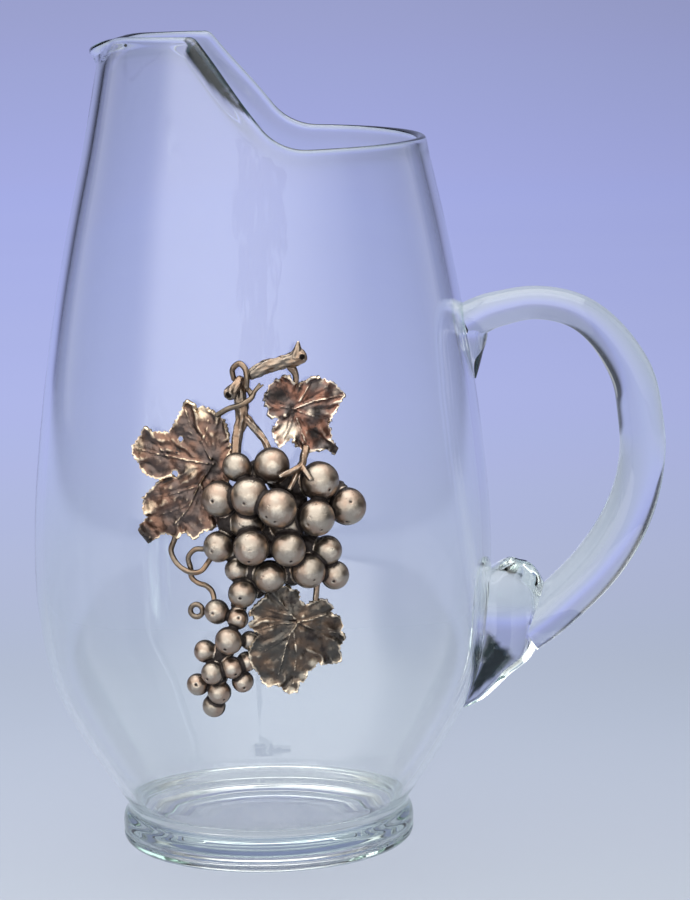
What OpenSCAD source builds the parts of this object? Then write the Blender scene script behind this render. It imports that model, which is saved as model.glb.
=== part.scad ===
// Open glass pitcher with a slanted rim, a small pouring lip, a looped rod handle
// and a cast grape cluster on its side.
// The Z axis is the vessel's axis, Z = 0 is the table, +X is the handle side,
// -X is the lip and -Y is the side with the ornament.  Millimetres.

/* [Vessel outline] */
// Height of the rim over the lip
jug_h = 254; // [246:1:266]
// Height of the rim over the handle
rim_low_z = 222; // [214:1:230]
// Height at which the foot ring ends and the bowl begins
heel_z = 14; // [12:0.5:16]
// Outer diameter at the heel
heel_d = 90; // [87:0.5:93]
// Outer diameter of the bowl just over the heel
bowl_d = 111; // [107:0.5:115]
// Outer diameter of the lower bowl
lower_d = 132; // [128:0.5:136]
// Outer diameter where the belly begins
belly_low_d = 142; // [138:0.5:146]
// Outer diameter of the belly
belly_d = 143; // [139:0.5:147]
// Outer diameter over the belly
upper_d = 138; // [134:0.5:142]
// Outer diameter at the handle's upper joint
shoulder_d = 130; // [127:0.5:133]
// Outer diameter of the upper wall
collar_d = 119; // [116:0.5:122]
// Outer diameter at the low rim
mouth_low_d = 105; // [102:0.5:108]
// Outer diameter at the high rim
mouth_d = 93; // [90:0.5:96]

/* [Vessel wall] */
// Thickness of the blown wall
wall = 2.8; // [2:0.1:3.6]
// Height of the inside floor over the table
floor_z = 7; // [6.5:0.1:8]
// Radius of the flat inside floor
floor_r = 34; // [30:0.5:36]
// Height of the bottom's underside over the table
bottom_z = 3.5; // [2.5:0.1:4]
// Radius of the flat underside of the bottom
bottom_r = 38; // [37:0.5:39]

/* [Rim and lip] */
// X at which the rim's ramp starts down from the high rim
ramp_top_x = -16; // [-20:0.5:-12]
// X at which the ramp's straight line meets the low rim
ramp_foot_x = 9.5; // [6:0.5:14]
// Radius of the hollow bend at the ramp's foot
ramp_foot_r = 18; // [10:1:24]
// Radius of the round corner at the ramp's top
ramp_top_r = 3; // [1:0.5:5]
// How far the lip's rim drops below the high rim
lip_drop = 4.5; // [2:0.5:7]
// X at which the rim starts to drop towards the lip
lip_start_x = -36; // [-40:0.5:-30]
// How far the lip stands out beyond the wall
lip_reach = 6.5; // [5:0.5:8]
// Height of the lip's flare
lip_h = 9.5; // [8:0.5:12]
// Radius of the lip's curve, seen from above
lip_r = 24; // [20:0.5:28]

/* [Foot ring] */
// Outer diameter of the foot ring
foot_d = 92; // [90:0.5:96]
// Height of the foot ring
foot_h = 10.5; // [9:0.5:11.5]
// Width of the foot ring, from its inside to its outside
foot_w = 9.5; // [8:0.5:11]
// Radius of the ring's rounded outer edges
foot_edge_r = 2.6; // [1.5:0.1:3.5]
// Depth of the two fine grooves round the ring
foot_groove = 0.5; // [0.2:0.1:0.8]

/* [Handle] */
// Height of the middle of the upper joint
handle_top_z = 158; // [152:1:164]
// Height of the middle of the lower joint
handle_low_z = 68; // [64:1:72]
// How far the handle's rod stands out from the belly at its middle line
handle_out = 48; // [42:1:54]
// Thickness of the rod at the middle of the loop
rod_d = 14.4; // [12:0.2:17]
// Length of the drip under the upper joint
drip_l = 12; // [10:0.5:16]
// Width of the lower pad where it meets the vessel
pad_w = 24; // [20:1:28]
// Length of the pad's pointed tail below the lower joint
tail_l = 27; // [22:1:32]

/* [Ornament] */
// Height of the ornament from its spike to its lowest grape
ornament_h = 111; // [100:1:118]
// Height of the ornament's middle line over the table
ornament_z = 110; // [106:1:114]
// Thickness of the adhesive behind the casting
glue_t = 0.4; // [0.2:0.1:0.6]
// Diameter of an adhesive dot
glue_d = 5; // [3:0.5:6]
// Thickness of a cast leaf
leaf_t = 1.2; // [0.9:0.1:1.6]
// Thickness of a tendril
tendril_d = 1.6; // [1.2:0.1:2]
// Diameter of the hole in the cut knot
knot_bore_d = 2; // [1.6:0.1:2.4]

/* [Hidden] */
$fn = 96;
OVER = 10;              // how far a cutting shape runs past what it cuts
OUTLINE_STEPS = 40;     // bands in the vessel's outline
CURVE_STEPS = 3;        // rings between two points of a tube's route
LEVELS = [0, 0.067, 0.15, 0.254, 0.358, 0.483, 0.608, 0.733, 0.867, 1];
DIAMETERS = [heel_d, bowl_d, lower_d, belly_low_d, belly_d,
             upper_d, shoulder_d, collar_d, mouth_low_d, mouth_d];
STATIONS = [for (i = [0:len(LEVELS) - 1])
    [heel_z + LEVELS[i] * (jug_h - heel_z), DIAMETERS[i] / 2]];

GLASS = [0.80, 0.90, 0.88];
PEWTER = [0.55, 0.47, 0.40];
LEAF_TONE = [0.42, 0.35, 0.31];
GLUE = [0.86, 0.86, 0.80];

// ---- curves -------------------------------------------------------------------

function last(list) = list[len(list) - 1];
function unit(v) = v / norm(v);
function keep(value, low, high) = min(max(value, low), high);

// Rise over run between the stations i and i + 1
function chord(s, i) = (s[i + 1][1] - s[i][1]) / (s[i + 1][0] - s[i][0]);

// Slope of the outline at station i
function slope(s, i) =
    i == 0 ? 1.5 * chord(s, 0) - 0.5 * slope(s, 1)
    : i == len(s) - 1 ? chord(s, i - 1)
    : let (before = s[i][0] - s[i - 1][0], after = s[i + 1][0] - s[i][0])
      (chord(s, i - 1) * after + chord(s, i) * before) / (before + after);

function hermite(t, h, a, b, slope_a, slope_b) =
    (1 + 2 * t) * pow(1 - t, 2) * a + t * pow(1 - t, 2) * h * slope_a
    + t * t * (3 - 2 * t) * b + t * t * (t - 1) * h * slope_b;

// Outer radius of the vessel at height z
function outer_r(z) =
    let (s = STATIONS,
         level = keep(z, heel_z, jug_h),
         i = max([for (j = [0:len(s) - 2]) if (level >= s[j][0]) j]),
         h = s[i + 1][0] - s[i][0],
         t = (level - s[i][0]) / h)
    hermite(t, h, s[i][1], s[i + 1][1], slope(s, i), slope(s, i + 1));

// Smooth curve through the points, with any number of values in each
function curve(points, steps = CURVE_STEPS) = concat(
    [for (i = [0:len(points) - 2], j = [0:steps - 1])
        let (a = points[i], b = points[i + 1], t = j / steps,
             before = i == 0 ? a - (b - a) : points[i - 1],
             after = i == len(points) - 2 ? b + (b - a) : points[i + 2])
        hermite(t, 1, a, b, (b - before) / 2, (after - a) / 2)],
    [last(points)]);

// Closed tube along centres; half holds each ring's half height and half width,
// and side is the direction of the width at each ring
module tube(centres, half, side, sides = 12) {
    n = len(centres);
    along = [for (i = [0:n - 1]) unit(centres[min(i + 1, n - 1)] - centres[max(i - 1, 0)])];
    rings = [for (i = [0:n - 1], k = [0:sides - 1])
        let (up = unit(cross(side[i], along[i])), wide = cross(along[i], up), a = 360 * k / sides)
        centres[i] + half[i][0] * cos(a) * up + half[i][1] * sin(a) * wide];
    skin = [for (i = [0:n - 2], k = [0:sides - 1])
        let (a = i * sides + k, b = i * sides + (k + 1) % sides)
        each [[a, b + sides, b], [a, a + sides, b + sides]]];
    start = [for (k = [1:sides - 2]) [0, k, k + 1]];
    final = (n - 1) * sides;
    end = [for (k = [1:sides - 2]) [final, final + k + 1, final + k]];
    polyhedron(rings, concat(skin, start, end));
}

// ---- vessel -------------------------------------------------------------------

// Rounded corner between two points of an outline, level at the first one
function corner(from, to) = [for (a = [0:10:60])
    [from[0] + (to[0] - from[0]) * sin(a) / sin(60),
     from[1] + (to[1] - from[1]) * (1 - cos(a)) / (1 - cos(60))]];

// Outline of the vessel, thickened outwards by extra
module outline_2d(extra = 0) {
    polygon(concat(
        [[0, bottom_z - extra]],
        corner([bottom_r, bottom_z - extra], [heel_d / 2 + extra, heel_z]),
        [for (i = [1:OUTLINE_STEPS])
            let (z = heel_z + (jug_h - heel_z) * i / OUTLINE_STEPS) [outer_r(z) + extra, z]],
        [[0, jug_h]]));
}

module outer_body(extra = 0) {
    rotate_extrude() outline_2d(extra);
}

// Space inside the wall, open over the rim
module inside() {
    rotate_extrude()
        polygon(concat(
            [[0, floor_z]],
            corner([floor_r, floor_z], [heel_d / 2 - wall, heel_z]),
            [for (i = [1:OUTLINE_STEPS])
                let (z = heel_z + (jug_h - heel_z) * i / OUTLINE_STEPS) [outer_r(z) - wall, z]],
            [[mouth_d / 2 - wall, jug_h + OVER], [0, jug_h + OVER]]));
}

// Cone that the lip is part of; thin makes it narrower and over makes it taller
module lip_cone(thin, over) {
    lip_x = outer_r(jug_h) + lip_reach - lip_r;
    flare = lip_reach + outer_r(jug_h) - outer_r(jug_h - lip_h);
    low_r = lip_r - flare - 1;
    grow = (lip_r - low_r) / lip_h;
    translate([-lip_x, 0, jug_h - lip_h - over])
        cylinder(h = lip_h + 2 * over,
                 r1 = low_r - thin - grow * over, r2 = lip_r - thin + grow * over);
}

// Side view of what lies over the rim: level over the lip side, a ramp, and level
// over the handle side
module over_rim() {
    rise = jug_h - rim_low_z;
    run = ramp_foot_x - ramp_top_x;
    steep = atan(rise / run);
    foot_cut = ramp_foot_r * tan(steep / 2);
    top_cut = ramp_top_r * tan(steep / 2);
    lip_run = outer_r(jug_h) + lip_reach + lip_start_x;
    rotate([90, 0, 0])
        linear_extrude(2 * mouth_low_d, center = true)
            polygon(concat(
                [for (i = [0:6])
                    let (t = 1.2 - i / 5)
                    [lip_start_x - lip_run * t, jug_h - lip_drop * t * t]],
                [for (a = [0:steep / 4:steep])
                    [ramp_top_x - top_cut + ramp_top_r * sin(a),
                     jug_h - ramp_top_r + ramp_top_r * cos(a)]],
                [for (a = [steep:-steep / 8:0])
                    [ramp_foot_x + foot_cut - ramp_foot_r * sin(a),
                     rim_low_z + ramp_foot_r - ramp_foot_r * cos(a)]],
                [[mouth_low_d, rim_low_z], [mouth_low_d, jug_h + OVER],
                 [-mouth_low_d, jug_h + OVER], [-mouth_low_d, jug_h - lip_drop * 1.4]]));
}

module vessel() {
    color(GLASS, 0.5)
        difference() {
            union() {
                outer_body();
                lip_cone(0, 0);
            }
            inside();
            lip_cone(wall, OVER);
            over_rim();
        }
}

// ---- foot ring ----------------------------------------------------------------

// Two fine grooves run round the ring, evenly spaced over its height
module foot_ring() {
    outer = foot_d / 2;
    color(GLASS, 0.5)
        rotate_extrude()
            difference() {
                union() {
                    translate([outer - foot_w, 0]) square([foot_w - foot_edge_r, foot_h]);
                    translate([outer - foot_w, foot_edge_r])
                        square([foot_w, foot_h - 2 * foot_edge_r]);
                    for (z = [foot_edge_r, foot_h - foot_edge_r])
                        translate([outer - foot_edge_r, z]) circle(foot_edge_r, $fn = 48);
                }
                outline_2d();
                for (i = [1, 2])
                    translate([outer, foot_h * i / 3]) circle(foot_groove, $fn = 24);
            }
}

// ---- handle -------------------------------------------------------------------

// Route of the rod from the upper joint round to the lower one: distance out from
// the joints' line and height over the middle of the two joints, as shares of
// handle_out and of half the joints' distance, then half height and half width as
// shares of rod_d
ROD = [
    [-0.20, 1.00, 0.50, 0.50], [-0.03, 1.11, 0.44, 0.46], [0.10, 1.19, 0.40, 0.44],
    [0.20, 1.22, 0.38, 0.43], [0.38, 1.26, 0.36, 0.42], [0.60, 1.22, 0.37, 0.43],
    [0.76, 1.11, 0.39, 0.45], [0.89, 0.93, 0.43, 0.47], [0.98, 0.71, 0.47, 0.49],
    [1.00, 0.49, 0.49, 0.50], [1.01, 0.26, 0.50, 0.50], [0.97, 0.00, 0.51, 0.51],
    [0.90, -0.22, 0.53, 0.52], [0.79, -0.44, 0.55, 0.54], [0.65, -0.64, 0.55, 0.55],
    [0.50, -0.80, 0.55, 0.56], [0.35, -0.95, 0.54, 0.56], [0.22, -1.06, 0.52, 0.55]];

// Drip under the upper joint, from its pointed end upwards: share of drip_l below
// the joint, then half depth and half width
DRIP = [[-1.00, 0.4, 0.6], [-0.75, 1.8, 2.4], [-0.40, 3.6, 4.4], [0.05, 6.0, 6.2],
        [0.50, 6.0, 6.2]];

// Pad from its tail upwards: share of the tail's length below the lower joint, then
// depth inside the vessel's wall, half depth and half width
PAD = [
    [-1.00, 0.6, 1.8, 0.08], [-0.86, 1.5, 6.0, 0.22], [-0.62, 2.0, 10.0, 0.42],
    [-0.40, 2.0, 13.8, 0.62], [-0.14, 1.0, 17.4, 0.84], [0.14, 0.0, 17.4, 1.00],
    [0.36, -0.5, 17.4, 0.94], [0.48, -1.0, 16.4, 0.84], [0.56, -1.0, 13.6, 0.70],
    [0.62, -0.5, 9.2, 0.50], [0.65, 0.0, 4.5, 0.30]];

// Tube whose route lies in the XZ plane: X, Z, half height and half width
module rod_tube(route) {
    tube([for (p = route) [p[0], 0, p[1]]], [for (p = route) [p[2], p[3]]],
         [for (p = route) [0, 1, 0]], 20);
}

module rod_solid() {
    top_r = outer_r(handle_top_z);
    low_r = outer_r(handle_low_z);
    mid_z = (handle_top_z + handle_low_z) / 2;
    half_h = (handle_top_z - handle_low_z) / 2;
    reach = handle_out + belly_d / 2 - (top_r + low_r) / 2;
    rod_tube(curve([for (p = ROD)
        let (share = keep((p[1] + 1) / 2, 0, 1), base = low_r + (top_r - low_r) * share)
        [base + reach * p[0], mid_z + half_h * p[1], rod_d * p[2], rod_d * p[3]]]));
}

module drip_solid() {
    rod_tube(curve([for (p = DRIP)
        let (z = handle_top_z + drip_l * p[0]) [outer_r(z), z, p[1], p[2]]], 2));
}

module pad_solid() {
    rod_tube(curve([for (p = PAD)
        let (z = handle_low_z + tail_l * p[0])
        [outer_r(z) - p[1], z, p[2], p[3] * pad_w / 2]], 2));
}

module handle() {
    color(GLASS, 0.5)
        difference() {
            union() {
                rod_solid();
                drip_solid();
            }
            outer_body();
            pad_solid();
        }
}

module handle_pad() {
    color(GLASS, 0.5)
        difference() {
            pad_solid();
            outer_body();
        }
}

// ---- ornament -----------------------------------------------------------------

// The ornament is drawn from the front, at its own size: across, up from its middle
// line, and height over the glass.  ORNAMENT_DRAWN is the height that it is drawn at.
ORNAMENT_DRAWN = 111;
scale_o = ornament_h / ORNAMENT_DRAWN;

// Point of the casting, set over the glass
function over_glass(p) =
    let (x = p[0] * scale_o,
         z = ornament_z + p[1] * scale_o,
         r = outer_r(z) + glue_t + p[2] * scale_o)
    [x, -sqrt(r * r - x * x), z];

// Direction straight out of the glass at a point
function outwards(q) = unit([q[0], q[1], 0]);

// Stem or tendril through the points: across, up, height and radius
module stem(points, sides = 10) {
    route = curve(points);
    centres = [for (p = route) over_glass(p)];
    tube(centres, [for (p = route) [p[3], p[3]] * scale_o],
         [for (q = centres) outwards(q)], sides);
}

// Leaf spread from its hub; each point of its edge, anticlockwise from the front,
// holds across, up, height and 1 where a vein ends there
module leaf(hub, edge) {
    m = len(edge);
    shares = [0.35, 0.7, 1];
    rise = 0.7;
    function height(p, share) = hub[2] + (p[2] - hub[2]) * share
        + rise * p[3] * sin(180 * share) - rise * (1 - p[3]) * sin(180 * share) / 2;
    function layer(drop) = concat(
        [over_glass([hub[0], hub[1], hub[2] - drop])],
        [for (s = shares, p = edge)
            over_glass([hub[0] + (p[0] - hub[0]) * s, hub[1] + (p[1] - hub[1]) * s,
                        height(p, s) - drop])]);
    function fan(base, turn) = [for (k = [0:m - 1])
        let (a = base + 1 + k, b = base + 1 + (k + 1) % m) turn ? [base, b, a] : [base, a, b]];
    function band(base, ring, turn) = [for (k = [0:m - 1])
        let (a = base + 1 + (ring - 1) * m + k, b = base + 1 + (ring - 1) * m + (k + 1) % m)
        each turn ? [[a, b, b + m], [a, b + m, a + m]] : [[a, b + m, b], [a, a + m, b + m]]];
    rings = len(shares);
    count = 1 + rings * m;
    rim = 1 + (rings - 1) * m;
    wall_faces = [for (k = [0:m - 1])
        let (a = rim + k, b = rim + (k + 1) % m)
        each [[a, b, b + count], [a, b + count, a + count]]];
    polyhedron(concat(layer(0), layer(leaf_t / scale_o)), concat(
        fan(0, true), fan(count, false),
        [for (r = [1:rings - 1]) each band(0, r, true)],
        [for (r = [1:rings - 1]) each band(count, r, false)],
        wall_faces));
}

// Grapes of the main bunch: across, up, height of the middle over the glass, radius
MAIN_GRAPES = [
    [-4.0, 22.0, 5.4, 4.3], [6.2, 22.4, 5.6, 5.3], [20.0, 17.4, 6.2, 5.8],
    [28.0, 9.2, 5.2, 5.6], [19.0, 7.3, 9.2, 5.5], [7.8, 11.0, 11.6, 5.9],
    [-0.3, 14.0, 8.5, 5.7], [-9.2, 12.8, 5.6, 5.3], [-1.3, 5.6, 4.4, 4.8],
    [-9.8, -1.5, 4.2, 4.6], [0.1, -0.7, 9.2, 5.4], [10.8, -1.4, 9.6, 5.1],
    [10.5, 5.0, 4.8, 5.2], [21.8, -3.3, 4.7, 4.4], [16.4, -8.8, 6.2, 5.1],
    [24.0, -11.0, 3.8, 4.3], [5.0, -10.2, 5.2, 4.8], [-4.6, -8.5, 3.2, 3.6],
    [-3.0, -15.2, 5.0, 4.2]];

// Low metal that joins the main bunch's grapes behind: the same four values
MAIN_WEB = [
    [1.4, 19.4, 1.8, 4.0], [13.2, 15.8, 2.0, 4.6], [24.6, 12.6, 2.0, 4.0],
    [-6.0, 5.4, 1.8, 4.4], [-5.4, -3.0, 1.6, 3.6], [0.4, -9.4, 1.8, 4.0],
    [16.2, -2.4, 2.0, 4.2], [1.2, -14.2, 1.6, 3.2], [11.0, -9.6, 2.2, 4.2]];

// Grapes of the small bunch at the tip
TIP_GRAPES = [
    [-10.8, -21.0, 3.4, 3.7], [-4.7, -23.0, 3.6, 3.2], [-1.2, -29.7, 3.2, 2.9],
    [-7.2, -29.0, 6.6, 4.1], [-14.5, -33.0, 3.8, 3.4], [-6.6, -37.5, 5.2, 3.4],
    [-9.8, -34.2, 2.6, 3.6], [-12.4, -39.0, 6.6, 3.4], [-17.0, -43.5, 3.7, 3.3],
    [-2.3, -36.2, 3.4, 3.0], [-3.7, -42.3, 3.6, 3.3], [-10.6, -45.6, 4.4, 3.5],
    [-11.4, -41.0, 3.0, 3.2], [-12.5, -50.2, 3.2, 3.4], [-4.2, -19.6, 2.2, 2.4]];

ALL_GRAPES = concat(MAIN_GRAPES, MAIN_WEB, TIP_GRAPES);

// Turns that keep the seams of each bunch's spheres off each other
TURN = [80, 13, 25];
TIP_TURN = [33, 52, 71];

module grape(g, turn = TURN) {
    translate(over_glass(g)) rotate(turn) sphere(g[3] * scale_o, $fn = 36);
}

// Grapes of a list that lie within reach of a place on the ornament
module grapes_near(list, place, reach, turn = TURN) {
    for (g = list)
        if (norm([g[0] - place[0], g[1] - place[1]]) < reach + g[3])
            grape(g, turn);
}

// What follows, without the vessel, its adhesive and the grapes near a place
module clear_of_grapes(place, reach) {
    difference() {
        children();
        outer_body(glue_t);
        grapes_near(ALL_GRAPES, place, reach);
    }
}

module main_bunch() {
    color(PEWTER)
        difference() {
            for (g = concat(MAIN_GRAPES, MAIN_WEB)) grape(g);
            outer_body(glue_t);
        }
}

module tip_bunch() {
    color(PEWTER)
        difference() {
            for (g = TIP_GRAPES) grape(g, TIP_TURN);
            outer_body(glue_t);
            grapes_near(concat(MAIN_GRAPES, MAIN_WEB), [-5, -22], 8, TIP_TURN);
        }
}

LEFT_HUB = [-11, 22.5, 2.2];
LEFT_LEAF = [
    [-6.5, 24.5, 2, 0], [-6, 27, 2, 0], [-6.5, 30, 2, 0], [-7.5, 33, 2, 0],
    [-9, 36.5, 2.5, 1], [-12, 37.5, 2, 0], [-14.5, 39, 2, 0], [-16, 37, 2, 0],
    [-17, 39.5, 2, 0], [-19, 40, 2.5, 1], [-20, 38, 2, 0], [-21.5, 35.5, 2, 0],
    [-23, 33, 2, 0], [-24, 31, 2, 0], [-26, 31, 2, 0], [-29, 31, 2.4, 0], [-32, 32, 2.4, 0],
    [-32.5, 30, 2.4, 0], [-34.5, 27.5, 2.4, 0], [-35.5, 26, 2.9, 1], [-35, 24, 2.4, 0],
    [-33.5, 21.5, 2.4, 0], [-32, 19, 2.4, 0], [-28, 17.5, 2, 0], [-25, 18, 2, 0],
    [-28.5, 15.5, 2.4, 0], [-31.5, 12.5, 2.4, 0], [-32.5, 8, 2.9, 1], [-31, 6, 2.4, 0],
    [-33, 3.5, 2.4, 0], [-34.5, -0.5, 2.9, 1], [-33, -2.5, 2.4, 0], [-30.5, -1, 2.4, 0],
    [-26, 1.5, 2, 0], [-22, 0.5, 2.5, 1], [-20, 2.5, 2, 0], [-17, 0.5, 2.5, 1],
    [-14.5, 3, 2, 0], [-11.5, 3, 2, 0], [-8.5, 7, 2, 0], [-7, 14, 2, 0], [-6, 20, 2, 0]];

RIGHT_HUB = [13, 38, 2.2];
RIGHT_LEAF = [
    [9, 47, 2.4, 0], [7, 46, 2.4, 0], [5.5, 44.5, 2.4, 0], [5.5, 43, 2.4, 0],
    [4, 42, 2.9, 1], [5.5, 38.5, 2.4, 0], [5.5, 36.5, 2.4, 0], [8.5, 35.5, 2.4, 0],
    [7.5, 33.5, 2.4, 0], [6.5, 31, 2.4, 0], [7.5, 28.5, 2.4, 0], [8.5, 27, 2.9, 1],
    [10, 28.5, 2.4, 0], [12.5, 30, 2.4, 0], [13.5, 28, 2.4, 0], [15, 26, 2.4, 0],
    [17, 25, 2.9, 1], [19, 26, 2.4, 0], [22, 26, 2.4, 0], [24.5, 24.5, 2.4, 0],
    [25.5, 26.5, 2.9, 1], [23.5, 28.5, 2.4, 0], [23.5, 30, 2.4, 0], [22.5, 33.5, 2.4, 0],
    [24, 35.5, 2.4, 0], [25, 37, 2.4, 0], [26, 38.5, 2.4, 0], [27.5, 41.5, 2.9, 1],
    [25.5, 43.5, 2.4, 0], [25, 44.5, 2.4, 0], [23, 45.5, 2.4, 0], [20, 46.5, 2.4, 0],
    [18.5, 47, 2.9, 1], [15.5, 45.5, 2.4, 0], [14.5, 44.5, 2.4, 0], [12.5, 46, 2.4, 0],
    [11.5, 48, 2.9, 1]];

LOWER_HUB = [13.2, -23.8, 6];
LOWER_LEAF = [
    [4, -16, 6.2, 0], [1.5, -18, 6.2, 0], [-1, -20.5, 6.2, 0], [1, -22.5, 6.2, 0],
    [-1.5, -24, 6.7, 1], [-0.5, -25.5, 6.2, 0], [2, -27, 6.2, 0], [0.5, -29, 6.2, 0],
    [-1.5, -33, 6.7, 1], [-1, -36, 6.2, 0], [1, -39, 4.6, 0], [2.5, -42.5, 4.6, 0],
    [4.5, -43.5, 5.1, 1], [6.5, -42.5, 4.6, 0], [8.5, -45, 4.6, 0], [10.5, -46, 5.1, 1],
    [12.5, -45, 4.6, 0], [13, -42.5, 4.6, 0], [14.5, -42.5, 4.6, 0], [15.5, -39.5, 4.6, 0],
    [17, -39, 4.6, 0], [18.5, -37, 4.6, 0], [21.5, -38, 3.6, 0], [24.5, -37.5, 3.6, 0],
    [25.5, -36.5, 4.1, 1], [25, -34.5, 3.6, 0], [25, -32.5, 3.6, 0], [26.5, -30.5, 4.1, 1],
    [25.5, -28, 3.6, 0], [26, -26, 3.6, 0], [25, -24, 3.6, 0], [22.5, -22, 3.6, 0],
    [23.5, -20.5, 3.6, 0], [21, -18, 5.1, 1], [18, -18.5, 4.6, 0], [15.5, -19, 4.6, 0],
    [13.5, -17.5, 4.6, 0], [13.5, -15, 4.6, 0], [11, -14, 5.0, 0], [8, -13, 5.4, 0],
    [5, -13.5, 6.7, 1]];

module left_leaf() {
    color(LEAF_TONE) clear_of_grapes([-8, 14], 14) leaf(LEFT_HUB, LEFT_LEAF);
}

module right_leaf() {
    color(LEAF_TONE) clear_of_grapes([14, 24], 6) leaf(RIGHT_HUB, RIGHT_LEAF);
}

module lower_leaf() {
    color(LEAF_TONE) clear_of_grapes([4, -26], 16) leaf(LOWER_HUB, LOWER_LEAF);
}

TENDRIL = tendril_d / 2 / scale_o;

module cane() {
    color(PEWTER) {
        stem([[0.2, 48.2, 2.4, 1.9], [5.5, 50.6, 2.4, 2.1], [10.5, 51.8, 2.4, 2.0],
              [15.0, 53.2, 2.4, 2.3]]);
        stem([[13.6, 52.6, 2.6, 2.0], [14.0, 55.0, 3.0, 1.2], [14.2, 57.2, 3.2, 0.3]]);
    }
}

// Young shoot that winds once over the cane's end
module cane_loop() {
    color(PEWTER)
        difference() {
            stem([[-4.6, 46.9, 2.0, TENDRIL], [-5.0, 49.8, 2.6, TENDRIL],
                  [-3.0, 51.6, 3.2, TENDRIL], [-1.2, 50.2, 4.2, TENDRIL],
                  [-0.7, 47.4, 4.8, TENDRIL], [-0.9, 44.8, 4.2, TENDRIL]]);
            knot_stub(0);
            cane();
            main_stalk();
        }
}

// Stub of a side shoot, cut off square
module knot_stub(bore) {
    start = over_glass([-2.6, 46.8, 2.4]);
    end = over_glass([-5.9, 42.9, 5.6]);
    axis = end - start;
    length = norm(axis);
    translate(start)
        rotate([0, acos(axis[2] / length), atan2(axis[1], axis[0])])
            difference() {
                cylinder(h = length, r1 = 1.4 * scale_o, r2 = 1.8 * scale_o, $fn = 32);
                if (bore > 0)
                    translate([0, 0, length - bore])
                        cylinder(h = bore + OVER, d = knot_bore_d, $fn = 24);
            }
}

module knot() {
    color(PEWTER)
        difference() {
            knot_stub(2);
            main_stalk();
            cane();
        }
}

module main_stalk() {
    color(PEWTER)
        clear_of_grapes([0, 26], 6) {
            stem([[-2.4, 46.6, 2.0, 1.2], [-3.0, 42.0, 2.0, 1.8], [-2.3, 38.5, 2.0, 1.9],
                  [-2.5, 35.0, 2.0, 1.8], [-3.8, 31.0, 2.2, 1.5], [-4.6, 24.5, 3.0, 1.4]]);
            stem([[-2.4, 36.4, 2.0, 1.2], [1.0, 32.6, 2.2, 1.1], [4.0, 29.2, 2.8, 1.0],
                  [5.8, 25.0, 4.0, 0.9]]);
        }
}

module side_stalk() {
    color(PEWTER)
        difference() {
            clear_of_grapes([14, 20], 10) {
                stem([[16.2, 26.6, 2.9, 1.1], [15.6, 24.6, 5.0, 1.1], [14.8, 22.4, 8.2, 1.0],
                      [12.0, 21.3, 10.4, 0.9], [8.8, 20.2, 11.4, 0.6]]);
                stem([[14.8, 22.6, 7.8, 1.0], [16.4, 20.6, 10.6, 0.8], [17.4, 19.2, 12.0, 0.6]]);
                stem([[14.8, 22.6, 7.4, 1.0], [13.2, 19.4, 8.8, 0.8], [11.4, 16.0, 9.6, 0.7]]);
            }
            leaf(RIGHT_HUB, RIGHT_LEAF);
        }
}

// Stem of the right leaf, down from the cane
module right_leaf_stem() {
    color(PEWTER)
        difference() {
            stem([[11.8, 50.6, 1.6, 1.1], [13.4, 47.6, 1.2, 1.0], [13.2, 43.0, 0.8, 0.8],
                  [12.6, 38.5, 0.8, 0.8]]);
            outer_body(glue_t);
            cane();
            leaf(RIGHT_HUB, RIGHT_LEAF);
        }
}

// Rod that holds the lower leaf under the main bunch
module lower_leaf_stem() {
    color(PEWTER)
        difference() {
            clear_of_grapes([18.8, -11], 6)
                stem([[18.9, -9.0, 3.4, 0.9], [18.7, -14.0, 3.6, 0.9],
                      [18.1, -19.6, 4.0, 0.9]]);
            leaf(LOWER_HUB, LOWER_LEAF);
        }
}

// Tendril that crosses the main stalk, with a forked tip
module upper_tendril() {
    color(PEWTER)
        difference() {
            union() {
                stem([[-9.8, 36.6, 3.0, TENDRIL], [-6.2, 38.8, 4.4, TENDRIL],
                      [-2.4, 40.0, 4.8, TENDRIL], [0.4, 41.6, 3.6, TENDRIL],
                      [1.4, 43.4, 2.4, 0.6], [2.9, 45.6, 2.0, 0.3]]);
                stem([[0.6, 42.2, 2.8, TENDRIL], [-0.4, 43.8, 2.2, TENDRIL],
                      [-1.8, 44.8, 1.8, TENDRIL]]);
            }
            main_stalk();
            leaf(LEFT_HUB, LEFT_LEAF);
        }
}

// Tendril that curls out below the left leaf
module curl_tendril() {
    color(PEWTER)
        difference() {
            clear_of_grapes([-12, -4], 8)
                stem([[-21.8, 3.0, 0.8, TENDRIL], [-23.2, -0.6, 1.0, TENDRIL],
                      [-24.2, -4.0, 1.0, TENDRIL], [-22.3, -7.6, 1.6, TENDRIL],
                      [-18.7, -9.5, 2.7, TENDRIL], [-15.4, -9.2, 2.6, TENDRIL],
                      [-13.4, -7.0, 2.0, TENDRIL], [-12.0, -4.6, 2.4, TENDRIL]]);
            leaf(LEFT_HUB, LEFT_LEAF);
        }
}

// Tendril that loops from the main bunch down to the tip bunch
module loop_tendril() {
    color(PEWTER)
        clear_of_grapes([-12, -12], 14)
            stem([[-12.0, -2.4, 2.4, TENDRIL], [-14.6, -2.8, 1.4, TENDRIL],
                  [-17.2, -3.2, 1.0, TENDRIL], [-19.1, -5.6, 1.0, TENDRIL],
                  [-18.5, -8.6, 0.9, TENDRIL], [-18.2, -11.4, 0.9, TENDRIL],
                  [-16.4, -13.0, 1.0, TENDRIL], [-13.8, -13.9, 1.0, TENDRIL],
                  [-12.0, -15.8, 1.4, TENDRIL], [-11.4, -19.4, 2.6, TENDRIL]]);
}

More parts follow.
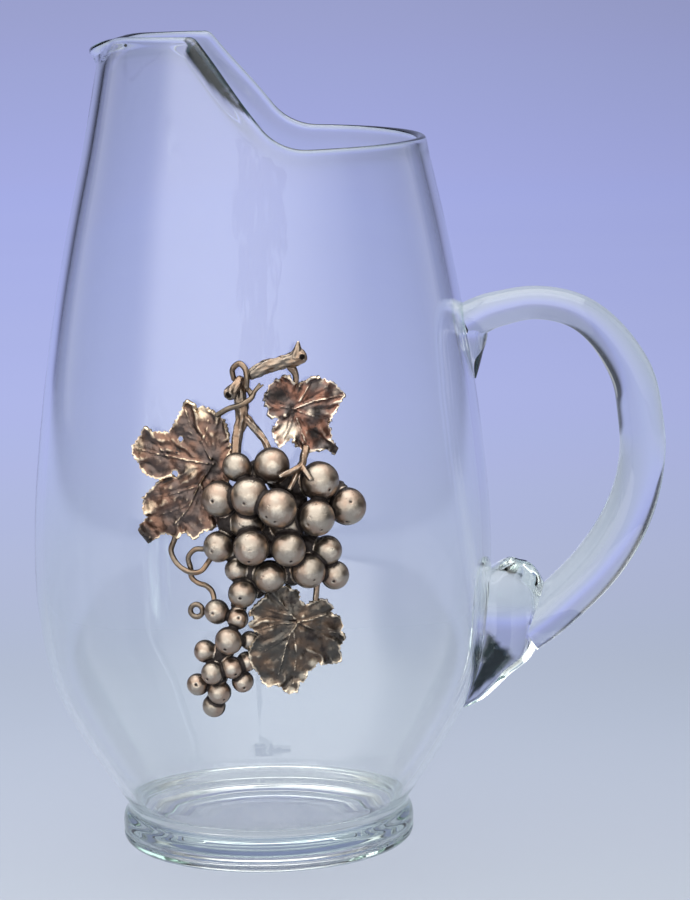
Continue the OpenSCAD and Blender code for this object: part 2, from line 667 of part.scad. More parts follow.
// Small closed ring beside the tip bunch
module tendril_ring() {
    place = over_glass([-17.0, -21.4, TENDRIL]);
    out = outwards(place);
    color(PEWTER)
        clear_of_grapes([-14, -21], 4)
            translate(place)
                rotate([90, 0, atan2(out[1], out[0]) + 90])
                    rotate_extrude()
                        translate([1.85 * scale_o, 0]) circle(d = tendril_d, $fn = 24);
}

// ---- adhesive -----------------------------------------------------------------

// Places behind the casting that are stuck to the glass: across, up, and how far the
// casting stands off there beyond the adhesive's usual thickness
GLUE_PLACES = [
    [-20, 24, 0.6], [-27, 8, 0.6], [-9.2, 12.8, 0], [28, 9.2, 0], [-9.8, -1.5, 0],
    [24, -11, 0], [17, 41, 0.6], [5, -10.2, 0], [-14.5, -33, 0], [-12.5, -49, 0]];

module glue_dots() {
    sunk = 2;
    play = 0.05;
    color(GLUE)
        difference() {
            for (p = GLUE_PLACES)
                let (q = over_glass([p[0], p[1], 0]), out = outwards(q))
                intersection() {
                    translate(q - sunk * out)
                        rotate([0, 90, atan2(out[1], out[0])])
                            cylinder(h = 2 * sunk + p[2], d = glue_d, $fn = 32);
                    outer_body(glue_t + p[2] - play, $fn = 360);
                }
            outer_body($fn = 360);
        }
}

vessel();
foot_ring();
handle();
handle_pad();
main_bunch();
tip_bunch();
left_leaf();
right_leaf();
lower_leaf();
cane();
cane_loop();
knot();
main_stalk();
side_stalk();
right_leaf_stem();
lower_leaf_stem();
upper_tendril();
curl_tendril();
loop_tendril();
tendril_ring();
glue_dots();
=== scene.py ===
"""Dressed glass pitcher with a cast grape cluster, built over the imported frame.

Sizes in the classes are millimetres, and the meshes are metres in the frame's own
axes: +Z up, +X the handle, -X the lip and -Y the side with the ornament.
"""

import logging
import math
from dataclasses import dataclass
from enum import Enum
from typing import Callable, Mapping, Sequence, Union

import bmesh
import bpy
import numpy as np
from mathutils import Matrix, Vector, noise
from mathutils.geometry import delaunay_2d_cdt


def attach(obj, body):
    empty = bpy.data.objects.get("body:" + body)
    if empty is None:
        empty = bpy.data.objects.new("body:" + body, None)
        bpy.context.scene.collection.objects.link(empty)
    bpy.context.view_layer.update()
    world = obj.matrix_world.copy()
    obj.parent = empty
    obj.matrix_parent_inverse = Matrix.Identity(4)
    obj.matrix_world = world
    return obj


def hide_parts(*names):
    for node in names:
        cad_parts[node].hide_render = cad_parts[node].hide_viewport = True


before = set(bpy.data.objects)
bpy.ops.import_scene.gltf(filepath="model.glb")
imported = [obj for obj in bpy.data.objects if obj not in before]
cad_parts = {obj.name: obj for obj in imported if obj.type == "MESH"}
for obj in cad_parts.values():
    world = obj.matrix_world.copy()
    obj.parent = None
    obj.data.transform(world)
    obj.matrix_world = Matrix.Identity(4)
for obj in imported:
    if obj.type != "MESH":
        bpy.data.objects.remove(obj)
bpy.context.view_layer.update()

MM = 0.001
log = logging.getLogger("pitcher")

Colour = tuple[float, float, float]
Flat = tuple[float, float]
Place = tuple[float, float, float]


# ---- numbers ------------------------------------------------------------------


def smooth(value: float, low: float = 0.0, high: float = 1.0) -> float:
    """Smooth step from 0 at low to 1 at high."""
    t = min(max((value - low) / (high - low), 0.0), 1.0)
    return t * t * (3 - 2 * t)


def lerp(a: float, b: float, t: float) -> float:
    """Value a share t of the way from a to b."""
    return a + (b - a) * t


def screen(red: int, green: int, blue: int) -> Colour:
    """Linear colour of a screen colour that is given in 0 to 255."""
    values = []
    for part in (red, green, blue):
        c = part / 255
        values.append(c / 12.92 if c <= 0.04045 else ((c + 0.055) / 1.055) ** 2.4)
    return (values[0], values[1], values[2])


def smooth_route(points: Sequence[Sequence[float]], steps: int) -> list[list[float]]:
    """Smooth curve through the points, with any number of values in each.

    Args:
        points: The places that it passes, each a list of values.
        steps: Spans between two points.

    Returns:
        The values along the curve, the first and last point among them.
    """
    data = [np.array(p, float) for p in points]
    out: list[list[float]] = []
    for i in range(len(data) - 1):
        a, b = data[i], data[i + 1]
        before = data[i - 1] if i else a - (b - a)
        after = data[i + 2] if i + 2 < len(data) else b + (b - a)
        ma, mb = (b - before) / 2, (after - a) / 2
        for j in range(steps):
            t = j / steps
            value = (
                (1 + 2 * t) * (1 - t) ** 2 * a
                + t * (1 - t) ** 2 * ma
                + t * t * (3 - 2 * t) * b
                + t * t * (t - 1) * mb
            )
            out.append([float(v) for v in value])
    out.append([float(v) for v in data[-1]])
    return out


def reach_to(places: np.ndarray, line: Sequence[Flat]) -> tuple[np.ndarray, np.ndarray]:
    """Nearest distances from places to a line of points, and the shares along it.

    Args:
        places: The places, across and up.
        line: The line's points.

    Returns:
        The distances, and how far along the line the nearest places are, 0 to 1.
    """
    best = np.full(len(places), 1e9)
    share = np.zeros(len(places))
    spans = len(line) - 1
    for i in range(spans):
        first = np.array(line[i])
        step = np.array(line[i + 1]) - first
        t = np.clip((places - first) @ step / max(float(step @ step), 1e-9), 0, 1)
        rest = places - first - t[:, None] * step
        gap = np.hypot(rest[:, 0], rest[:, 1])
        share = np.where(gap < best, (i + t) / spans, share)
        best = np.minimum(gap, best)
    return best, share


def ease(values: np.ndarray, low: float, high: float) -> np.ndarray:
    """Smooth step from 0 at low to 1 at high, over an array."""
    t = np.clip((values - low) / (high - low), 0, 1)
    return t * t * (3 - 2 * t)


def grain_of(places: np.ndarray, scale: float, shift: float = 0.0) -> np.ndarray:
    """Noise of about -1 to 1 at places of two or three values."""
    flat = np.zeros((len(places), 3))
    flat[:, : places.shape[1]] = places * scale
    return np.array([noise.noise(Vector((p[0], p[1], p[2] + shift))) for p in flat])


# ---- shader nodes -------------------------------------------------------------


class Sock:
    """A shader socket, on which Python's operators add Math nodes."""

    def __init__(self, shader: "Shader", socket: bpy.types.NodeSocket) -> None:
        """Wraps a socket of a shader's tree."""
        self.shader = shader
        self.socket = socket

    def math(self, operation: str, *others: "Value", flip: bool = False) -> "Sock":
        """Adds a Math node.

        Args:
            operation: The node's operation.
            others: Its other inputs.
            flip: Whether this socket comes last.

        Returns:
            The node's output.
        """
        values = (*others, self) if flip else (self, *others)
        return self.shader.node(
            "ShaderNodeMath", {"operation": operation}, dict(enumerate(values))
        )

    def __add__(self, other: "Value") -> "Sock":
        """Sum."""
        return self.math("ADD", other)

    __radd__ = __add__

    def __sub__(self, other: "Value") -> "Sock":
        """Difference."""
        return self.math("SUBTRACT", other)

    def __rsub__(self, other: "Value") -> "Sock":
        """Difference, the other way round."""
        return self.math("SUBTRACT", other, flip=True)

    def __mul__(self, other: "Value") -> "Sock":
        """Product."""
        return self.math("MULTIPLY", other)

    __rmul__ = __mul__

    def top(self, other: "Value") -> "Sock":
        """The larger of two values."""
        return self.math("MAXIMUM", other)

    def least(self, other: "Value") -> "Sock":
        """The smaller of two values."""
        return self.math("MINIMUM", other)

    def step(self, low: float, high: float) -> "Sock":
        """Smooth step from 0 at low to 1 at high."""
        return self.shader.node(
            "ShaderNodeMapRange",
            {"interpolation_type": "SMOOTHSTEP", "clamp": True},
            {"Value": self, "From Min": low, "From Max": high},
        )


Value = Union[Sock, float, int]


class Shader:
    """A material or world, whose nodes are all added by one method."""

    def __init__(self, owner: bpy.types.Material | bpy.types.World) -> None:
        """Empties the tree of a new material or world."""
        self.owner = owner
        owner.use_nodes = True
        self.tree = owner.node_tree
        self.tree.nodes.clear()

    @classmethod
    def named(cls, name: str) -> "Shader":
        """Starts a material of that name."""
        return cls(bpy.data.materials.new(name))

    def node(
        self,
        kind: str,
        settings: Mapping[str, object] | None = None,
        inputs: Mapping[int | str, object] | None = None,
        outlet: int | str = 0,
    ) -> Sock:
        """Adds a node.

        Args:
            kind: The node's type.
            settings: Its settings, set first.
            inputs: Values or sockets for its inputs, by name or place.
            outlet: The output that is returned.

        Returns:
            The wrapped output.
        """
        made = self.tree.nodes.new(kind)
        for key, value in (settings or {}).items():
            setattr(made, key, value)
        for place, value in (inputs or {}).items():
            socket = made.inputs[place]
            if isinstance(value, Sock):
                self.tree.links.new(value.socket, socket)
            elif isinstance(value, tuple) and socket.type == "RGBA":
                socket.default_value = (*value[:3], 1.0)
            else:
                socket.default_value = value
        return Sock(self, made.outputs[outlet])

    def blend(self, share: Value, first: object, second: object) -> Sock:
        """Mixes two colours, the second at a share of 1."""
        return self.node(
            "ShaderNodeMix", {"data_type": "RGBA"}, {0: share, 6: first, 7: second}, 2
        )

    def noise(self, scale: float, detail: float = 2.0, rough: float = 0.5) -> Sock:
        """Noise over the object's own coordinates, at a scale per metre."""
        return self.node(
            "ShaderNodeTexNoise",
            None,
            {"Vector": self.place(), "Scale": scale, "Detail": detail, "Roughness": rough},
        )

    def place(self) -> Sock:
        """The object's own coordinates."""
        return self.node("ShaderNodeTexCoord", None, None, "Object")

    def mark(self, name: str) -> Sock:
        """A number that the mesh carries at each vertex."""
        return self.node("ShaderNodeAttribute", {"attribute_name": name}, None, "Fac")

    def axis(self, way: Sock, name: str) -> Sock:
        """One axis of a place or direction."""
        return self.node("ShaderNodeSeparateXYZ", None, {0: way}, name)

    def bump(self, strength: float, distance: float, height: Sock) -> Sock:
        """Small relief in the surface's normal."""
        return self.node(
            "ShaderNodeBump", None, {"Strength": strength, "Distance": distance, "Height": height}
        )

    def skin(self, inputs: Mapping[int | str, object]) -> Sock:
        """A Principled surface."""
        return self.node("ShaderNodeBsdfPrincipled", None, inputs)

    def finish(
        self, surface: Sock, volume: Sock | None = None, kind: str = "Material"
    ) -> bpy.types.Material:
        """Connects the surface, and a volume if there is one, to the output."""
        made = self.tree.nodes.new(f"ShaderNodeOutput{kind}")
        for name, value in (("Surface", surface), ("Volume", volume)):
            if value is not None:
                self.tree.links.new(value.socket, made.inputs[name])
        return self.owner


# ---- finishes -----------------------------------------------------------------


@dataclass(frozen=True)
class ClearGlass:
    """Clear soda glass with a faint green cast and a hand-made waviness; a mark on the mesh paints
    dark refraction and a darker foot into its colour.
    """

    tint: Colour = (0.985, 0.995, 0.99)
    deep: Colour = (0.70, 0.86, 0.80)
    density: float = 9.0
    # deep green-black of the painted dark refraction
    edge: Colour = (0.006, 0.020, 0.018)

    def build(self) -> bpy.types.Material:
        """Makes the material."""
        shader = Shader.named("clear_glass")
        waves = shader.noise(26.0, 1.0)
        bump = shader.bump(0.025, 0.0015, waves)
        # painted dark refraction and the darker foot, from the mesh's mark, broken up by fine noise
        deep = shader.mark("edge")
        thread = shader.noise(420.0, 1.0) * 0.35
        colour = shader.blend((deep * (1.2 - thread)).least(1.0), self.tint, self.edge)
        surface = shader.skin(
            {
                "Base Color": colour,
                "Roughness": 0.0,
                "IOR": 1.51,
                "Transmission Weight": 1.0,
                "Normal": bump,
            }
        )
        volume = shader.node(
            "ShaderNodeVolumeAbsorption", None, {"Color": self.deep, "Density": self.density}
        )
        return shader.finish(surface, volume)


class Cast(Enum):
    """Parts of the casting that wear in their own way."""

    GRAPE = "cast_grapes"
    LEFT_LEAF = "cast_left_leaf"
    RIGHT_LEAF = "cast_right_leaf"
    LOWER_LEAF = "cast_lower_leaf"
    BARK = "cast_bark"
    TENDRIL = "cast_tendrils"


@dataclass(frozen=True)
class AntiquedPewter:
    """Cast metal, dark with patina in its hollows and rubbed bright on what stands out, with
    painted shade on its sides and painted highlights on its fronts.

    The meshes carry two numbers per vertex: one for patina in hollows and painted shade, one for
    rubbed crests and painted highlights.
    """

    cast: Cast
    metal: Colour
    warm: Colour
    bright: Colour
    grain: float
    # dark tone of the patina and of the painted shade
    grime_and_shade: Colour = (0.030, 0.022, 0.019)
    clean_rough: float = 0.34

    def build(self) -> bpy.types.Material:
        """Makes the material."""
        shader = Shader.named(self.cast.value)
        dirt_and_shade, rub_and_highlight = shader.mark("grime_and_shade"), shader.mark("rub_and_highlight")
        broad = shader.noise(160.0, 2.0)
        fine = shader.noise(self.grain, 3.0, 0.65)
        specks = shader.noise(self.grain * 0.55, 2.0, 0.7).step(0.63, 0.74)
        tone = shader.blend(broad.step(0.36, 0.66), self.metal, self.warm)
        # rubbed crests and painted highlights take the rubbed tone
        lit = (rub_and_highlight * 1.15 - 0.3 + fine * 0.5 + (broad - 0.5) * 0.9).step(0.25, 0.95)
        tone = shader.blend(lit, tone, self.bright)
        # patina and painted shade take the dark tone
        dark = (dirt_and_shade * 1.25 + (fine - 0.5) * 0.85 + specks * 0.5).step(0.28, 0.92)
        colour = shader.blend(dark, tone, self.grime_and_shade)
        rough = self.clean_rough + dark * 0.22 + (fine - 0.5) * 0.18
        bump = shader.bump(0.35, 0.0004, fine - specks * 0.6)
        metallic = 1 - dark * 0.45
        return shader.finish(
            shader.skin(
                {"Base Color": colour, "Metallic": metallic, "Roughness": rough, "Normal": bump}
            )
        )


# the metal's own tone, its warm patches and its rubbed tone, which also paints highlights, then the
# grain per metre
PEWTER_TONES: dict[Cast, tuple[Colour, Colour, Colour, float]] = {
    Cast.GRAPE: ((0.40, 0.345, 0.28), (0.37, 0.265, 0.20), (0.86, 0.78, 0.63), 900.0),
    Cast.LEFT_LEAF: ((0.115, 0.088, 0.078), (0.20, 0.112, 0.078), (0.88, 0.69, 0.48), 1200.0),
    Cast.RIGHT_LEAF: ((0.12, 0.102, 0.094), (0.24, 0.115, 0.078), (0.94, 0.78, 0.60), 1200.0),
    Cast.LOWER_LEAF: ((0.105, 0.095, 0.082), (0.16, 0.11, 0.078), (0.80, 0.67, 0.50), 1200.0),
    Cast.BARK: ((0.26, 0.215, 0.17), (0.30, 0.20, 0.135), (0.94, 0.85, 0.70), 1300.0),
    Cast.TENDRIL: ((0.22, 0.175, 0.13), (0.27, 0.175, 0.11), (0.78, 0.66, 0.50), 1300.0),
}


def pewter(cast: Cast) -> bpy.types.Material:
    """Makes the metal's finish for one part of the casting."""
    return AntiquedPewter(cast, *PEWTER_TONES[cast]).build()


@dataclass(frozen=True)
class ClearAdhesive:
    """Cured clear adhesive, slightly milky."""

    def build(self) -> bpy.types.Material:
        """Makes the material."""
        shader = Shader.named("clear_adhesive")
        cloud = shader.noise(900.0, 2.0)
        tone = shader.blend(cloud.step(0.3, 0.7), screen(196, 198, 190), screen(222, 224, 216))
        rough = cloud * 0.2 + 0.2
        return shader.finish(
            shader.skin({"Base Color": tone, "Roughness": rough, "Transmission Weight": 0.35})
        )


# ---- bench work ---------------------------------------------------------------


def start(name: str, adder: Callable[..., object], **at: object) -> bpy.types.Object:
    """Adds a primitive with nothing else selected, and names it.

    Args:
        name: The piece's name.
        adder: The operator that adds the primitive.
        at: Its settings.

    Returns:
        The new object.
    """
    bpy.ops.object.select_all(action="DESELECT")
    adder(**at)
    piece = bpy.context.object
    piece.name = name
    piece.data.name = name
    return piece


def only(piece: bpy.types.Object) -> None:
    """Makes a piece the only selected and the active one."""
    bpy.ops.object.select_all(action="DESELECT")
    piece.select_set(True)
    bpy.context.view_layer.objects.active = piece


def edit(piece: bpy.types.Object) -> None:
    """Opens a piece in edit mode with all of it selected."""
    only(piece)
    bpy.ops.object.mode_set(mode="EDIT")
    bpy.ops.mesh.select_all(action="SELECT")


def close() -> None:
    """Merges doubles, turns the normals outwards and leaves edit mode."""
    bpy.ops.mesh.select_all(action="SELECT")
    bpy.ops.mesh.remove_doubles(threshold=1e-6)
    bpy.ops.mesh.normals_make_consistent(inside=False)
    bpy.ops.object.mode_set(mode="OBJECT")


def apply(piece: bpy.types.Object, kind: str, **settings: object) -> None:
    """Adds a modifier with its settings and applies it."""
    only(piece)
    modifier = piece.modifiers.new(kind.title(), kind)
    for key, value in settings.items():
        setattr(modifier, key, value)
    bpy.ops.object.modifier_apply(modifier=modifier.name)


def drop(piece: bpy.types.Object) -> None:
    """Removes a helper object and its mesh."""
    mesh = piece.data
    bpy.data.objects.remove(piece)
    bpy.data.meshes.remove(mesh)


def places_of(piece: bpy.types.Object) -> np.ndarray:
    """A mesh's vertices in millimetres."""
    places = np.zeros(len(piece.data.vertices) * 3)
    piece.data.vertices.foreach_get("co", places)
    return places.reshape(-1, 3) / MM


def normals_of(piece: bpy.types.Object) -> np.ndarray:
    """A mesh's directions at its vertices."""
    normals = np.zeros(len(piece.data.vertices) * 3)
    piece.data.vertices.foreach_get("normal", normals)
    return normals.reshape(-1, 3)


def carry(piece: bpy.types.Object, name: str, values: np.ndarray) -> None:
    """Gives each vertex a number, under a name that its finish reads."""
    data = piece.data.attributes
    attribute = data.get(name) or data.new(name, "FLOAT", "POINT")
    attribute.data.foreach_set("value", np.ascontiguousarray(values, np.float32))


def move_to(piece: bpy.types.Object, places: np.ndarray) -> None:
    """Moves a mesh's vertices to places in millimetres."""
    piece.data.vertices.foreach_set("co", np.ascontiguousarray(places * MM).ravel())
    piece.data.update()


def seed(name: str, place: Vector) -> bpy.types.Object:
    """Opens a new piece in edit mode, with one selected vertex.

    Args:
        name: The piece's name.
        place: The vertex's place in millimetres.

    Returns:
        The piece.
    """
    piece = start(name, bpy.ops.mesh.primitive_plane_add, size=0.001)
    edit(piece)
    bpy.ops.mesh.merge(type="CENTER")
    mesh = bmesh.from_edit_mesh(piece.data)
    first = list(mesh.verts)[0]
    first.co = place * MM
    first.select = True
    bmesh.update_edit_mesh(piece.data)
    return piece


def loft(name: str, rings: Sequence[Sequence[Vector]]) -> bpy.types.Object:
    """Closed tube: a filled circle that is extruded ring by ring.

    Args:
        name: The piece's name.
        rings: The rings' places in millimetres, all with the same count.

    Returns:
        The tube.
    """
    sides = len(rings[0])
    piece = start(
        name, bpy.ops.mesh.primitive_circle_add, vertices=sides, fill_type="NGON"
    )
    edit(piece)
    mesh = bmesh.from_edit_mesh(piece.data)
    spoke = mesh.verts.layers.int.new("spoke")
    mesh.verts.ensure_lookup_table()
    for k, vertex in enumerate(mesh.verts):
        vertex[spoke] = k
        vertex.co = rings[0][k] * MM
    bmesh.update_edit_mesh(piece.data)
    for ring in rings[1:]:
        bpy.ops.mesh.extrude_region_move()
        mesh = bmesh.from_edit_mesh(piece.data)
        spoke = mesh.verts.layers.int["spoke"]
        for vertex in mesh.verts:
            if vertex.select:
                vertex.co = ring[vertex[spoke]] * MM
        bmesh.update_edit_mesh(piece.data)
    close()
    piece.data.attributes.remove(piece.data.attributes["spoke"])
    return piece


def dress(
    piece: bpy.types.Object,
    material: bpy.types.Material,
    nodes: Sequence[str],
    angle: float = 40.0,
) -> None:
    """Gives a piece its finish, hangs it under the root, and hides the frame's nodes that it stands
    for.

    Args:
        piece: The piece.
        material: Its material.
        nodes: The frame's nodes that it replaces.
        angle: Edges under this many degrees are shaded smooth.
    """
    piece.data.materials.clear()
    piece.data.materials.append(material)
    only(piece)
    bpy.ops.object.shade_smooth_by_angle(angle=math.radians(angle))
    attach(piece, "root")
    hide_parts(*nodes)
    log.info("%s: %d faces", piece.name, len(piece.data.polygons))


# ---- the bowl's outline ---------------------------------------------------------


@dataclass(frozen=True)
class Outline:
    """Outer outline of the bowl, which carries the handle and the ornament."""

    stations: tuple[Flat, ...] = (
        (14, 45), (30.08, 55.5), (50, 66), (74.96, 71), (99.92, 71.5), (129.92, 69), (159.92, 65),
        (189.92, 59.5), (222.08, 52.5), (254, 46.5),
    )
    glue: float = 0.4
    middle: float = 110.0

    def _chord(self, i: int) -> float:
        """Rise over run from a station to the next."""
        s = self.stations
        return (s[i + 1][1] - s[i][1]) / (s[i + 1][0] - s[i][0])

    def _slope(self, i: int) -> float:
        """Slope of the outline at a station."""
        s = self.stations
        if i == 0:
            return 1.5 * self._chord(0) - 0.5 * self._slope(1)
        if i == len(s) - 1:
            return self._chord(i - 1)
        before, after = s[i][0] - s[i - 1][0], s[i + 1][0] - s[i][0]
        return (self._chord(i - 1) * after + self._chord(i) * before) / (before + after)

    def radius(self, z: float) -> float:
        """Outer radius at a height."""
        s = self.stations
        over = z - s[-1][0]
        if over > 0:
            return s[-1][1] + over * self._slope(len(s) - 1)
        z = max(z, s[0][0])
        i = max(j for j in range(len(s) - 1) if z >= s[j][0])
        h = s[i + 1][0] - s[i][0]
        t = (z - s[i][0]) / h
        return (
            (1 + 2 * t) * (1 - t) ** 2 * s[i][1]
            + t * (1 - t) ** 2 * h * self._slope(i)
            + t * t * (3 - 2 * t) * s[i + 1][1]
            + t * t * (t - 1) * h * self._slope(i + 1)
        )

    def over(self, across: float, up: float, rise: float) -> Vector:
        """Place over the glass on the ornament's side.

        Args:
            across: Distance towards the handle from the jug's middle.
            up: Distance up from the ornament's middle line.
            rise: Distance out from the glass and its adhesive.

        Returns:
            The place in millimetres.
        """
        z = self.middle + up
        r = self.radius(z) + self.glue + rise
        return Vector((across, -math.sqrt(max(r * r - across * across, 1.0)), z))


OUTLINE = Outline()
HEIGHTS = np.arange(0.0, 300.0, 0.25)
RADII = np.array([OUTLINE.radius(float(z)) for z in HEIGHTS])


def lift_of(places: np.ndarray) -> np.ndarray:
    """Distances of places from the adhesive's outer face."""
    over = np.hypot(places[:, 0], places[:, 1])
    return over - np.interp(places[:, 2], HEIGHTS, RADII) - OUTLINE.glue


# ---- the glass ----------------------------------------------------------------


Row = tuple[str, float, float]


@dataclass
class Pitcher:
    """Blown bowl with its foot, fire-polished slanted rim and pouring lip."""

    columns: int = 320
    wall: float = 2.8
    rim_high: float = 254.0
    rim_low: float = 222.0
    ramp_top: float = -16.0
    ramp_foot: float = 9.5
    ramp_top_r: float = 3.0
    ramp_foot_r: float = 18.0
    lip_start: float = -36.0
    lip_drop: float = 4.5
    lip_reach: float = 6.5
    lip_h: float = 9.5
    lip_r: float = 24.0
    skew: float = 1.3
    bead: float = 2.1
    # rings are level up to this height, and above it they lean into the rim's slope
    hold: float = 150.0
    foot_top: float = 14.0
    # depths of the rings around the rim's roll, as shares, and under it
    round_rim: tuple[float, ...] = (0.08, 0.25, 0.5, 0.78, 1.0)
    under_rim: tuple[float, ...] = (0.5, 1.2, 2.2, 3.5, 5.0, 7.0, 9.5, 12.5)
    # inside, from the wall to the middle of the floor
    floor: tuple[Flat, ...] = (
        (44.4, 17.4), (43.2, 15.4), (41.6, 13.2), (39.6, 11.2), (37.2, 9.6), (34.2, 8.4),
        (30.5, 7.6), (26.0, 7.15), (20.0, 7.0), (12.0, 7.05), (5.0, 7.15),
    )

    def crest(self, x: float) -> float:
        """Height of the rim in the side view, at a distance across."""
        rise = self.rim_high - self.rim_low
        run = self.ramp_foot - self.ramp_top
        steep = math.atan(rise / run)
        top_cut = self.ramp_top_r * math.tan(steep / 2)
        foot_cut = self.ramp_foot_r * math.tan(steep / 2)
        if x <= self.lip_start:
            reach = OUTLINE.radius(self.rim_high) + self.lip_reach + self.lip_start
            return self.rim_high - self.lip_drop * ((self.lip_start - x) / reach) ** 2
        if x <= self.ramp_top - top_cut:
            return self.rim_high
        if x <= self.ramp_top + top_cut * math.cos(steep):
            d = x - (self.ramp_top - top_cut)
            return self.rim_high - self.ramp_top_r + math.sqrt(self.ramp_top_r**2 - d * d)
        if x < self.ramp_foot - foot_cut * math.cos(steep):
            return self.rim_high - (x - self.ramp_top) * rise / run
        if x < self.ramp_foot + foot_cut:
            d = self.ramp_foot + foot_cut - x
            return self.rim_low + self.ramp_foot_r - math.sqrt(self.ramp_foot_r**2 - d * d)
        return self.rim_low

    def outer(self, angle: float, z: float) -> float:
        """Outer radius with the lip's flare, at an angle from the handle."""
        r = OUTLINE.radius(z)
        centre = OUTLINE.radius(self.rim_high) + self.lip_reach - self.lip_r
        flare = self.lip_reach + OUTLINE.radius(self.rim_high)
        flare -= OUTLINE.radius(self.rim_high - self.lip_h)
        cone = self.lip_r - (flare + 1) / self.lip_h * (self.rim_high - z)
        along = -centre * math.cos(angle)
        square = along * along - centre * centre + cone * cone
        if cone <= 0 or square <= 0 or along <= 0:
            return r
        lip = along + math.sqrt(square)
        soft = 1.6
        gap = max(soft - abs(r - lip), 0.0) / soft
        return max(r, lip) + gap * gap * soft / 4

    def rim_height(self, angle: float) -> float:
        """Height of the rim at an angle from the handle."""
        z = self.rim_high
        for _ in range(40):
            target = self.crest(self.outer(angle, z) * math.cos(angle))
            z += (target - z) * 0.5
        return z - self.skew * math.sin(angle) * smooth(z, 232.0, 250.0)

    def mid(self, angle: float, z: float) -> Vector:
        """Place on the middle of the wall."""
        r = self.outer(angle, z) - self.wall / 2
        return Vector((r * math.cos(angle), r * math.sin(angle), z))

    def _normal(self, angle: float, z: float) -> Vector:
        """Outward direction of the wall."""
        d = 0.4
        across = self.mid(angle + d / 60, z) - self.mid(angle - d / 60, z)
        up = self.mid(angle, z + d) - self.mid(angle, z - d)
        return across.cross(up).normalized()

    def rim_line(self) -> tuple[list[float], list[float]]:
        """Angles and heights of the rim at even distances along it."""
        count = 2400
        angles = [2 * math.pi * i / count for i in range(count + 1)]
        heights = [self.rim_height(a) for a in angles]
        places = [self.mid(a, z) for a, z in zip(angles, heights)]
        gone = [0.0]
        for a, b in zip(places, places[1:]):
            gone.append(gone[-1] + (b - a).length)
        wanted = [gone[-1] * i / self.columns for i in range(self.columns)]
        return (
            [float(v) for v in np.interp(wanted, gone, angles)],
            [float(v) for v in np.interp(wanted, gone, heights)],
        )

    def _bead(self, x: float, z: float) -> float:
        """Half thickness of the rim's roll, fuller up the ramp."""
        up = (z - self.rim_low) / (self.rim_high - self.rim_low)
        on_ramp = smooth(up, 0.02, 0.75) * smooth(x, self.ramp_top - 7, self.ramp_top + 2)
        return lerp(self.wall / 2 + 0.15, self.bead, on_ramp)

    def _foot(self) -> list[Flat]:
        """Outline of the underside and the foot ring, from the middle outwards."""
        under = [(0.0, 3.7), (8, 3.7), (16, 3.6), (24, 3.5), (31, 3.4), (34.6, 3.2)]
        ring = [
            (35.9, 2.6), (36.6, 1.5), (37.4, 0.6), (38.6, 0.12), (40, 0.0), (42.4, 0.0),
            (43.9, 0.15), (45.0, 0.75), (45.7, 1.6), (46, 2.6), (45.95, 3.1), (45.7, 3.5),
            (45.95, 4.0), (46.05, 4.8), (46.05, 5.8), (46.05, 6.8), (45.95, 7.8), (45.7, 8.7),
            (45.3, 9.5), (44.85, 10.2), (44.5, 10.9), (44.4, 11.6), (44.5, 12.3), (44.7, 13.0),
        ]
        fine = [(float(p[0]), max(float(p[1]), 0.0)) for p in smooth_route(ring, 3)]
        return under + fine

    def build(self) -> bpy.types.Object:
        """Builds the bowl.

        Returns:
            The closed bowl, before the handle is joined to it.
        """
        low = self.foot_top
        lower = [low + (self.hold - low) * (i / 34) for i in range(35)]
        climb = [i / 20 for i in range(1, 20)]
        rows: list[Row] = [("at", r, z) for r, z in self._foot()]
        rows += [("at", OUTLINE.radius(z), z) for z in lower]
        rows += [("wall", 1.0, 1 - t) for t in climb]
        rows += [("tail", 1.0, s) for s in reversed(self.under_rim)]
        rows += [("bead", 1.0, d) for d in reversed(self.round_rim)]
        rows += [("bead", 0.0, 0.0)]
        rows += [("bead", -1.0, d) for d in self.round_rim]
        rows += [("tail", -1.0, s) for s in self.under_rim]
        rows += [("wall", -1.0, 1 - t) for t in reversed(climb)]
        rows += [("at", OUTLINE.radius(z) - self.wall, z) for z in reversed(lower) if z > 19]
        rows += [("at", r, z) for r, z in smooth_route(self.floor, 2)]
        rows += [("at", 0.0, self.floor[-1][1])]

        piece = seed("pitcher_glass", Vector((0, 0, rows[0][2])))
        bmesh.from_edit_mesh(piece.data).verts.layers.int.new("row")
        bmesh.update_edit_mesh(piece.data)
        reach = 60.0
        for j, row in enumerate(rows[1:], start=1):
            r = row[1] if row[0] == "at" else reach - 0.1 * j
            bpy.ops.mesh.extrude_region_move()
            mesh = bmesh.from_edit_mesh(piece.data)
            mark = mesh.verts.layers.int["row"]
            for vertex in mesh.verts:
                if vertex.select:
                    vertex.co = Vector((r * MM, 0, j * 0.0001))
                    vertex[mark] = j
            bmesh.update_edit_mesh(piece.data)
        bpy.ops.mesh.select_all(action="SELECT")
        bpy.ops.mesh.spin(
            steps=self.columns, angle=2 * math.pi, center=(0, 0, 0), axis=(0, 0, 1)
        )
        bpy.ops.mesh.select_all(action="SELECT")
        bpy.ops.mesh.remove_doubles(threshold=1e-7)
        bpy.ops.object.mode_set(mode="OBJECT")
        self._settle(piece, rows)
        edit(piece)
        bpy.ops.mesh.normals_make_consistent(inside=False)
        bpy.ops.object.mode_set(mode="OBJECT")
        piece.data.attributes.remove(piece.data.attributes["row"])
        return piece

